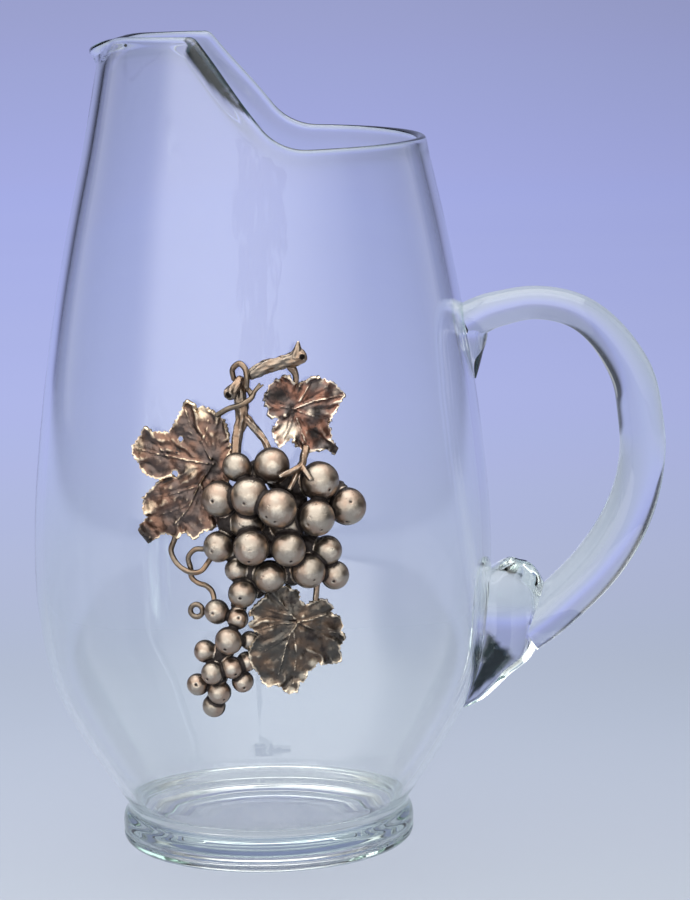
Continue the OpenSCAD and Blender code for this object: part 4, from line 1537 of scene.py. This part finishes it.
LEFT_LEAF = VineLeaf(
    "left_vine_leaf",
    "left_leaf",
    (-11, 22.5, 2.6),
    (
        (-6.5, 24.5, 2), (-6, 27, 2), (-6.5, 30, 2), (-7.5, 33, 2), (-9, 36.5, 2.5),
        (-12, 37.5, 2), (-14.5, 39, 2), (-16, 37, 2), (-17, 39.5, 2), (-19, 40, 2.5), (-20, 38, 2),
        (-21.5, 35.5, 2), (-23, 33, 2), (-24, 31, 2), (-26, 31, 2), (-29, 31, 2.4), (-32, 32, 2.4),
        (-32.5, 30, 2.4), (-34.5, 27.5, 2.4), (-35.5, 26, 2.9), (-35, 24, 2.4), (-33.5, 21.5, 2.4),
        (-32, 19, 2.4), (-28, 17.5, 2), (-25, 18, 2), (-28.5, 15.5, 2.4), (-31.5, 12.5, 2.4),
        (-32.5, 8, 2.9), (-31, 6, 2.4), (-33, 3.5, 2.4), (-34.5, -0.5, 2.9), (-33, -2.5, 2.4),
        (-30.5, -1, 2.4), (-26, 1.5, 2), (-22, 0.5, 2.5), (-20, 2.5, 2), (-17, 0.5, 2.5),
        (-14.5, 3, 2), (-11.5, 3, 2), (-8.5, 7, 2), (-7, 14, 2), (-6, 20, 2),
    ),
    (
        Vein(((-11.0, 22.4), (-18.5, 23.4), (-25.0, 24.4), (-33.9, 25.8)), 0.75, 0.42),
        Vein(((-24.5, 23.9), (-28.1, 27.9), (-30.2, 28.9)), 0.45, 0.35),
        Vein(((-16.5, 22.6), (-19.2, 24.0), (-22.7, 27.6), (-25.0, 30.4)), -0.75, 0.5),
        Vein(
            ((-11.0, 22.4), (-13.2, 26.4), (-14.4, 28.8), (-17.8, 33.6), (-19.2, 38.4)), 0.6, 0.38
        ),
        Vein(((-18.5, 30.1), (-14.7, 28.9)), 0.4, 0.3),
        Vein(((-14.4, 28.8), (-12.6, 33.0), (-12.2, 36.4)), 0.4, 0.32),
        Vein(((-11.2, 23.0), (-9.6, 28.0), (-9.4, 33.5)), -0.6, 0.45),
        Vein(((-15.8, 31.0), (-19.6, 33.2)), -0.45, 0.4),
        Vein(((-11.0, 22.4), (-13.9, 18.4), (-15.8, 15.4), (-18.8, 9.0), (-23.1, 4.4)), 0.75, 0.42),
        Vein(((-16.3, 15.7), (-21.7, 13.8), (-29.9, 11.6)), 0.55, 0.36),
        Vein(((-18.0, 10.6), (-23.0, 8.4), (-28.6, 6.4)), 0.4, 0.32),
        Vein(((-14.9, 16.6), (-13.2, 11.0), (-12.8, 6.0)), 0.4, 0.35),
        Vein(((-13.0, 18.6), (-10.6, 14.0), (-9.4, 9.4)), -0.5, 0.5),
        Vein(((-17.2, 20.2), (-22.0, 17.6), (-26.0, 17.4)), -0.8, 0.6),
        Vein(((-20.6, 5.6), (-17.6, 3.0)), -0.45, 0.4),
    ),
    ((-17.8, 20.6, 2.8, 1.1), (-29.5, 22.0, 3.2, 0.6), (-12.0, 32.0, 2.2, 0.5),
     (-24.0, 10.8, 3.0, 0.6), (-21.0, 27.0, 2.2, -0.6), (-10.6, 6.5, 1.8, -0.4)),
    ((-20.7, 29.3, 0.75), (-22.6, 18.9, 1.15)),
    ((-29.6, 2.2, 218.0, 2.1),),
    seed=1.0,
    spots=(
        (-32.5, 0.6, 3.4, 0.95), (-11.5, 21.0, 2.6, 0.7), (-22.0, 26.5, 2.4, 0.5),
        (-10.6, 8.0, 2.4, 0.6), (-25.0, 20.0, 2.0, 0.5), (-14.0, 37.0, 2.6, -0.7),
        (-33.5, 27.0, 2.6, -0.6), (-30.5, 9.0, 3.0, -0.5), (-18.0, 20.6, 2.6, -0.6),
        (-9.5, 30.0, 2.0, -0.4), (-17.5, 4.0, 2.4, -0.4),
    ),
)

RIGHT_LEAF = VineLeaf(
    "right_vine_leaf",
    "right_leaf",
    (13, 38, 2.4),
    (
        (9, 47, 2.4), (7, 46, 2.4), (5.5, 44.5, 2.4), (5.5, 43, 2.4), (4, 42, 2.9),
        (5.5, 38.5, 2.4), (5.5, 36.5, 2.4), (8.5, 35.5, 2.4), (7.5, 33.5, 2.4), (6.5, 31, 2.4),
        (7.5, 28.5, 2.4), (8.5, 27, 2.9), (10, 28.5, 2.4), (12.5, 30, 2.4), (13.5, 28, 2.4),
        (15, 26, 2.4), (17, 25, 2.9), (19, 26, 2.4), (22, 26, 2.4), (24.5, 24.5, 2.4),
        (25.5, 26.5, 2.9), (23.5, 28.5, 2.4), (23.5, 30, 2.4), (22.5, 33.5, 2.4), (24, 35.5, 2.4),
        (25, 37, 2.4), (26, 38.5, 2.4), (27.5, 41.5, 2.9), (25.5, 43.5, 2.4), (25, 44.5, 2.4),
        (23, 45.5, 2.4), (20, 46.5, 2.4), (18.5, 47, 2.9), (15.5, 45.5, 2.4), (14.5, 44.5, 2.4),
        (12.5, 46, 2.4), (11.5, 48, 2.9),
    ),
    (
        Vein(((12.8, 37.9), (14.9, 38.8), (18.6, 40.0), (21.7, 40.4), (26.9, 41.1)), 0.8, 0.38),
        Vein(((14.4, 40.1), (17.7, 45.2)), 0.5, 0.32),
        Vein(((15.6, 39.8), (18.6, 41.4), (25.0, 44.7)), -0.55, 0.42),
        Vein(((12.8, 37.6), (13.6, 35.9), (16.5, 31.7), (20.3, 30.0)), -0.7, 0.45),
        Vein(((12.8, 37.9), (16.5, 36.4), (21.0, 35.0)), 0.5, 0.32),
        Vein(((12.6, 38.2), (10.8, 42.0), (9.4, 45.6)), -0.5, 0.4),
        Vein(((12.6, 38.0), (9.0, 38.8), (6.0, 40.6)), 0.4, 0.3),
        Vein(((12.6, 37.4), (11.6, 33.0), (9.4, 28.8)), 0.55, 0.35),
        Vein(((12.9, 37.2), (14.8, 31.6), (16.6, 27.0)), 0.5, 0.35),
        Vein(((12.8, 36.8), (10.2, 34.8), (7.8, 34.2)), -0.6, 0.5),
        Vein(((14.0, 40.8), (13.4, 43.0), (13.8, 44.6)), -0.6, 0.45),
    ),
    ((17.5, 36.6, 2.0, 0.7), (20.8, 38.2, 1.8, -0.35), (10.2, 36.4, 0.9, 0.7),
     (20.0, 29.0, 2.0, -0.6), (9.0, 41.0, 2.0, -0.4), (21.0, 43.2, 1.8, 0.4)),
    (),
    ((22.6, 26.0, -28.0, 1.5),),
    folds=30,
    grain=0.38,
    seed=2.0,
    cast=Cast.RIGHT_LEAF,
    spots=(
        (8.6, 42.2, 3.8, 0.75), (18.6, 30.6, 2.4, 0.85), (25.0, 26.0, 2.0, 0.9),
        (12.4, 36.4, 1.4, 0.8), (14.4, 43.6, 1.4, 0.7), (11.0, 31.4, 3.6, -0.85),
        (17.6, 36.8, 1.8, -0.6), (25.0, 42.0, 2.0, -0.5), (20.6, 45.6, 1.6, -0.5),
    ),
)

LOWER_LEAF = VineLeaf(
    "lower_vine_leaf",
    "lower_leaf",
    (13.2, -23.8, 6.2),
    (
        (4, -16, 6.2), (1.5, -18, 6.2), (-1, -20.5, 6.2), (1, -22.5, 6.2), (-1.5, -24, 6.7),
        (-0.5, -25.5, 6.2), (2, -27, 6.2), (0.5, -29, 6.2), (-1.5, -33, 6.7), (-1, -36, 6.2),
        (1, -39, 4.6), (2.5, -42.5, 4.6), (4.5, -43.5, 5.1), (6.5, -42.5, 4.6), (8.5, -45, 4.6),
        (10.5, -46, 5.1), (12.5, -45, 4.6), (13, -42.5, 4.6), (14.5, -42.5, 4.6),
        (15.5, -39.5, 4.6), (17, -39, 4.6), (18.5, -37, 4.6), (21.5, -38, 3.6), (24.5, -37.5, 3.6),
        (25.5, -36.5, 4.1), (25, -34.5, 3.6), (25, -32.5, 3.6), (26.5, -30.5, 4.1),
        (25.5, -28, 3.6), (26, -26, 3.6), (25, -24, 3.6), (22.5, -22, 3.6), (23.5, -20.5, 3.6),
        (21, -18, 5.1), (18, -18.5, 4.6), (15.5, -19, 4.6), (13.5, -17.5, 4.6), (13.5, -15, 4.6),
        (11, -14, 5.0), (8, -13, 5.4), (5, -13.5, 6.7),
    ),
    (
        Vein(((13.2, -23.9), (17.9, -23.1), (21.5, -22.2)), 0.7, 0.35),
        Vein(((13.2, -23.9), (10.9, -27.2), (9.4, -31.0), (8.0, -36.5), (6.6, -41.0)), 0.75, 0.38),
        Vein(((10.4, -27.6), (7.4, -29.8), (2.0, -33.0)), 0.5, 0.3),
        Vein(((13.2, -23.9), (7.9, -17.4)), 0.5, 0.32),
        Vein(((13.0, -23.7), (11.2, -23.6), (3.4, -22.1), (0.0, -24.0)), -0.8, 0.5),
        Vein(((12.6, -24.0), (6.4, -24.4), (0.6, -26.4)), 0.5, 0.32),
        Vein(((14.0, -24.8), (20.0, -29.6), (21.0, -36.5)), -0.9, 0.6),
        Vein(((13.6, -24.4), (19.2, -27.2), (25.0, -28.4)), 0.5, 0.35),
        Vein(((11.8, -27.0), (12.4, -34.0), (11.2, -43.0)), 0.5, 0.34),
        Vein(((12.6, -26.0), (14.6, -31.0), (15.0, -37.0)), -0.55, 0.5),
        Vein(((10.4, -31.0), (9.6, -37.0), (9.4, -42.0)), -0.5, 0.45),
        Vein(((12.8, -22.8), (11.6, -18.4), (11.4, -15.2)), -0.5, 0.45),
        Vein(((11.0, -21.6), (6.2, -20.6), (2.0, -19.0)), 0.4, 0.34),
    ),
    ((7.0, -26.2, 1.6, -1.0), (5.6, -25.4, 1.2, 0.9), (17.2, -28.6, 1.4, 0.8),
     (14.8, -22.2, 0.8, 0.6), (4.0, -37.0, 2.4, 0.5), (22.4, -33.0, 1.6, 0.6)),
    (),
    (),
    folds=30,
    grain=0.38,
    seed=3.0,
    cast=Cast.LOWER_LEAF,
    spots=(
        (16.8, -28.4, 2.0, 0.9), (20.4, -33.0, 1.8, 0.7), (6.4, -21.6, 2.6, 0.6),
        (11.4, -17.4, 2.4, 0.6), (1.6, -27.6, 2.4, 0.6), (24.0, -25.0, 2.0, 0.5),
        (17.1, -37.1, 1.6, -0.8), (14.1, -40.7, 1.6, -0.8), (10.5, -45.1, 1.6, -0.8),
        (1.0, -22.0, 1.6, -0.4), (4.4, -42.0, 1.8, -0.5), (21.6, -19.4, 1.8, -0.4),
    ),
)

# the usual radius of a tendril
T = 0.8

RODS = (
    VineRod(
        "fruiting_cane", "cane",
        (
            ((0.2, 48.2, 2.4, 1.7), (3.0, 49.6, 2.4, 1.9), (5.5, 50.6, 2.4, 2.1),
             (8.0, 51.2, 2.5, 1.9), (10.5, 51.8, 2.4, 1.95), (13.0, 52.4, 2.5, 2.1),
             (15.2, 53.2, 2.6, 2.4)),
            ((13.4, 52.8, 2.6, 2.1), (14.0, 55.0, 3.0, 1.3), (14.3, 57.4, 3.2, 0.45)),
        ),
        bark=0.12, ridges=6, bores=((14.2, 53.6, 2.0, 15.6, 53.2, 5.2, 0.9),),
    ),
    VineRod(
        "winding_shoot", "cane_loop",
        (
            ((-4.6, 46.9, 2.0, T), (-5.0, 49.8, 2.6, T), (-3.0, 51.6, 3.2, T * 1.1),
             (-1.2, 50.2, 4.2, T * 1.1), (-0.7, 47.4, 4.8, T), (-0.9, 44.8, 4.2, T)),
        ),
        Cast.TENDRIL, 0.16, 4, 0.07,
    ),
    VineRod(
        "cut_knot", "knot",
        (((-2.6, 46.8, 2.4, 1.5), (-4.2, 44.9, 4.0, 1.6), (-5.4, 43.5, 5.2, 1.85),
          (-5.9, 42.9, 5.6, 1.9)),),
        bark=0.10, voxel=0.16, bores=((-4.6, 44.6, 2.6, -6.1, 42.9, 6.9, 1.15),),
    ),
    VineRod(
        "main_stalk_rod", "main_stalk",
        (
            ((-2.4, 46.6, 2.0, 1.4), (-3.0, 42.0, 2.0, 1.8), (-2.3, 38.5, 2.0, 2.0),
             (-2.5, 35.0, 2.0, 1.8), (-3.8, 31.0, 2.2, 1.5), (-4.6, 24.5, 3.0, 1.5)),
            ((-2.4, 37.0, 2.2, 1.3), (1.0, 33.0, 2.3, 1.15), (4.0, 29.4, 2.8, 1.0),
             (5.8, 25.0, 4.0, 1.0)),
        ),
    ),
    VineRod(
        "side_stalk_rod", "side_stalk",
        (
            ((16.2, 26.6, 2.9, 1.2), (15.6, 24.6, 5.0, 1.15), (14.8, 22.4, 8.2, 1.1),
             (12.0, 21.3, 10.4, 0.9), (8.8, 20.2, 11.4, 0.65)),
            ((14.8, 22.6, 7.8, 1.0), (16.4, 20.6, 10.6, 0.85), (17.6, 19.0, 12.2, 0.75)),
            ((14.8, 22.6, 7.4, 1.0), (13.2, 19.4, 8.8, 0.8), (11.4, 16.0, 9.6, 0.7)),
        ),
        bark=0.09,
    ),
    VineRod(
        "right_leaf_stem_rod", "right_leaf_stem",
        (((11.8, 50.6, 1.6, 1.3), (13.4, 47.6, 1.5, 1.0), (13.2, 43.0, 1.0, 0.8),
          (12.6, 38.5, 1.0, 0.8)),),
        bark=0.08,
    ),
    VineRod(
        "lower_leaf_stem_rod", "lower_leaf_stem",
        (((18.9, -9.0, 3.4, 0.9), (18.7, -14.0, 3.6, 0.9), (18.1, -19.6, 4.0, 0.9)),),
        bark=0.08,
    ),
    VineRod(
        "forked_tendril", "upper_tendril",
        (
            ((-9.8, 36.6, 3.0, T), (-6.2, 38.8, 4.4, T), (-2.4, 40.0, 4.8, T),
             (0.4, 41.6, 3.6, T), (1.4, 43.4, 2.6, 0.62), (2.9, 45.6, 2.2, 0.35)),
            ((0.8, 42.4, 3.0, 0.6), (2.0, 43.8, 2.6, 0.45), (3.9, 45.2, 2.2, 0.3)),
            ((0.6, 42.2, 2.8, T), (-0.4, 43.8, 2.2, T), (-1.8, 44.8, 1.8, T)),
        ),
        Cast.TENDRIL, 0.16, 4, 0.06,
    ),
    VineRod(
        "curling_tendril", "curl_tendril",
        (
            ((-21.8, 3.0, 0.8, T), (-23.2, -0.6, 1.0, T), (-24.2, -4.0, 1.0, T),
             (-22.3, -7.6, 1.6, T), (-18.7, -9.5, 2.7, T), (-15.4, -9.2, 2.6, T),
             (-13.4, -7.0, 2.0, T), (-12.0, -4.6, 2.4, T)),
        ),
        Cast.TENDRIL, 0.16, 4, 0.06,
    ),
    VineRod(
        "looping_tendril", "loop_tendril",
        (
            ((-12.0, -2.4, 2.4, T), (-14.6, -2.8, 1.4, T), (-17.2, -3.2, 1.0, T),
             (-19.1, -5.6, 1.0, T), (-18.5, -8.6, 0.9, T), (-18.2, -11.4, 0.9, T),
             (-16.4, -13.0, 1.0, T), (-13.8, -13.9, 1.0, T), (-12.0, -15.8, 1.4, T),
             (-11.4, -19.4, 2.6, T)),
        ),
        Cast.TENDRIL, 0.16, 4, 0.06,
    ),
)


def cast_ornament() -> None:
    """Builds every piece of the casting and finishes the adhesive under it."""
    for bunch in (MAIN_BUNCH, TIP_BUNCH):
        bunch.build()
    for leaf in (LEFT_LEAF, RIGHT_LEAF, LOWER_LEAF):
        leaf.build()
    for rod in RODS:
        rod.build()
    TendrilRing().build()
    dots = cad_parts["glue_dots"]
    dots.data.materials.clear()
    dots.data.materials.append(ClearAdhesive().build())


# ---- studio -------------------------------------------------------------------


@dataclass
class Studio:
    """Pale floor that sweeps up behind the jug, soft light and the camera."""

    flat_to: float = 1500.0
    drop: float = -0.12
    sweep_r: float = 450.0
    width: float = 5000.0
    front: float = -2200.0
    height: float = 2600.0
    eye_far: float = 1080.0
    eye_height: float = 310.0
    eye_turn: float = 2.5
    pitch: float = 9.79
    yaw: float = 1.39
    roll: float = -0.96
    focal_px: float = 3500.0
    # metres beside the jug between which the unseen dark wings begin, and their strength
    wings: Flat = (0.85, 1.50)
    wing_dark: float = 0.93
    floor_lift: float = 0.66
    key: Place = (-0.31, -0.70, 0.64)
    # a ramp for the paper, from dusky blue at the top to pale grey at the front, with painted light
    # falloff in it: the height it is seen at, in image rows, and a screen colour chosen for it
    glow: tuple[tuple[float, int, int, int], ...] = (
        (-300, 150, 158, 196), (0, 154, 160, 206), (200, 166, 174, 230), (400, 175, 183, 232),
        (680, 178, 188, 208), (900, 192, 200, 212),
    )

    def _profile(self) -> list[Flat]:
        """Side view of the sweep: distance back and height."""
        points = [(self.front, self.drop), (-600.0, self.drop)]
        points += [(-300 + 75.0 * i, self.drop) for i in range(24)] + [(self.flat_to, self.drop)]
        for i in range(1, 37):
            a = math.radians(90 * i / 36)
            points.append(
                (self.flat_to + self.sweep_r * math.sin(a), self.sweep_r * (1 - math.cos(a)))
            )
        points += [(self.flat_to + self.sweep_r, z) for z in (700.0, 1200.0, self.height)]
        return points

    def _row(self, y: float, z: float) -> float:
        """Image row at which a place of the sweep stands in the photograph."""
        angle = math.atan2(self.eye_height - z, self.eye_far + y) - math.radians(self.pitch)
        return 450 + self.focal_px * math.tan(angle)

    def _colour(self, row: float) -> Colour:
        """Screen colour of the backdrop at an image row, made linear."""
        rows = [g[0] for g in self.glow]
        parts = [float(np.interp(row, rows, [g[k] for g in self.glow])) for k in (1, 2, 3)]
        return screen(*[round(p) for p in parts])

    def sweep(self) -> None:
        """Builds the floor and backdrop as one sheet."""
        profile = self._profile()
        sheet = seed("studio_sweep", Vector((-self.width / 2, *profile[0])))
        for (y0, z0), (y1, z1) in zip(profile, profile[1:]):
            bpy.ops.mesh.extrude_region_move(
                TRANSFORM_OT_translate={"value": (0, (y1 - y0) * MM, (z1 - z0) * MM)}
            )
        bpy.ops.mesh.select_all(action="SELECT")
        bpy.ops.mesh.extrude_region_move(
            TRANSFORM_OT_translate={"value": (self.width * MM, 0, 0)}
        )
        bpy.ops.object.mode_set(mode="OBJECT")
        tone = sheet.data.color_attributes.new("tone", "FLOAT_COLOR", "POINT")
        for vertex, item in zip(sheet.data.vertices, tone.data):
            y, z = vertex.co.y / MM, vertex.co.z / MM
            item.color = (*self._colour(self._row(y, z) if y > -900 else 900.0), 1.0)
        only(sheet)
        bpy.ops.object.shade_smooth()
        sheet.data.materials.append(self._paper())

    def _paper(self) -> bpy.types.Material:
        """Backdrop paper: lit near the jug, and further off it glows in its own tone, which holds
        painted light falloff.
        """
        shader = Shader.named("studio_paper")
        tone = shader.node("ShaderNodeVertexColor", {"layer_name": "tone"}, None, "Color")
        across, depth = shader.axis(shader.place(), "X"), shader.axis(shader.place(), "Y")
        # painted shade: the paper up to 12% darker towards +X
        tone = shader.blend(across.step(-0.08, 0.38) * 0.12, tone, (0.0, 0.0, 0.0))
        rays = [
            shader.node("ShaderNodeLightPath", None, None, f"Is {kind} Ray")
            for kind in ("Camera", "Glossy", "Transmission")
        ]
        bent = rays[1].top(rays[2])
        beyond = across.math("ABSOLUTE").step(*self.wings)
        glow_tone = shader.blend(bent * beyond * self.wing_dark, tone, (0.0, 0.0, 0.0))
        far = depth.step(0.02, 0.30)
        lifted = shader.node(
            "ShaderNodeMix", {"data_type": "RGBA", "blend_type": "MULTIPLY"},
            {0: 1.0, 6: tone, 7: (self.floor_lift,) * 3}, 2,
        )
        lit = shader.skin({"Base Color": lifted, "Roughness": 0.75})
        own = shader.node("ShaderNodeEmission", None, {"Color": glow_tone, "Strength": 1.0})
        share = (rays[0].top(bent) * far).top(bent * beyond)
        surface = shader.node("ShaderNodeMixShader", None, {0: share, 1: lit, 2: own})
        return shader.finish(surface)

    def world(self) -> None:
        """Surroundings: dark wings, and a broad soft light beside the camera."""
        world = bpy.data.worlds.new("studio_air")
        bpy.context.scene.world = world
        shader = Shader(world)
        way = shader.node("ShaderNodeTexCoord", None, None, "Generated")
        across, up = shader.axis(way, "X"), shader.axis(way, "Z")
        facing = shader.node(
            "ShaderNodeVectorMath", {"operation": "DOT_PRODUCT"}, {0: way, 1: self.key}, "Value"
        )
        wing = across.math("ABSOLUTE").step(0.80, 0.97) * (1 - up.step(0.45, 0.85))
        level = 0.36 + up.step(0.1, 0.9) * 0.2 + facing.step(0.1, 1.0) * 1.7
        level = level * (1 - wing * self.wing_dark)
        background = shader.node(
            "ShaderNodeBackground", None, {"Color": (0.98, 0.985, 1.0), "Strength": level}
        )
        shader.finish(background, kind="World")

    def lamp(self, name: str, place: Place, size: Flat, power: float) -> None:
        """Adds a soft rectangular lamp that faces the frame's origin.

        Args:
            name: The lamp's name.
            place: Where it stands, in millimetres.
            size: Its width and height.
            power: Its power in watts.
        """
        light = bpy.data.lights.new(name, "AREA")
        light.shape = "RECTANGLE"
        light.size, light.size_y = size[0] * MM, size[1] * MM
        light.energy = power
        lamp = bpy.data.objects.new(name, light)
        bpy.context.collection.objects.link(lamp)
        lamp.location = Vector(place) * MM
        lamp.rotation_euler = (-Vector(place)).to_track_quat("-Z", "Y").to_euler()

    def camera(self) -> None:
        """Sets the camera where the photograph was taken from."""
        a, h = math.radians(self.eye_turn), math.radians(self.yaw - self.eye_turn)
        p, r = math.radians(self.pitch), math.radians(self.roll)
        eye = Vector((self.eye_far * math.sin(a), -self.eye_far * math.cos(a), self.eye_height))
        ahead = Vector((math.sin(h) * math.cos(p), math.cos(h) * math.cos(p), -math.sin(p)))
        right = Vector((math.cos(h), -math.sin(h), 0.0))
        up = right.cross(ahead)
        turned_right = right * math.cos(r) + up * math.sin(r)
        turned_up = up * math.cos(r) - right * math.sin(r)
        data = bpy.data.cameras.new("studio_camera")
        data.lens = self.focal_px / 900 * 36
        data.sensor_width = 36
        data.sensor_fit = "AUTO"
        camera = bpy.data.objects.new("studio_camera", data)
        bpy.context.collection.objects.link(camera)
        axes = Matrix((turned_right, turned_up, -ahead)).transposed()
        camera.matrix_world = Matrix.Translation(eye * MM) @ axes.to_4x4()
        bpy.context.scene.camera = camera

    def build(self) -> None:
        """Sets up the whole studio."""
        scene = bpy.context.scene
        scene.view_settings.view_transform = "Standard"
        scene.cycles.transmission_bounces = 24
        scene.cycles.glossy_bounces = 24
        scene.cycles.max_bounces = 32
        scene.cycles.transparent_max_bounces = 8
        self.camera()
        self.sweep()
        self.world()
        self.lamp("soft_top", (0.0, 100.0, 1500.0), (1800, 1400), 14.0)


def main() -> None:
    """Builds the studio, the glass and the casting, in that order."""
    Studio().build()
    fuse_glass(Pitcher(), GlassHandle(), ClearGlass())
    cast_ornament()


if __name__ == "__main__":
    logging.basicConfig(level=logging.INFO, format="%(name)s: %(message)s")
    main()
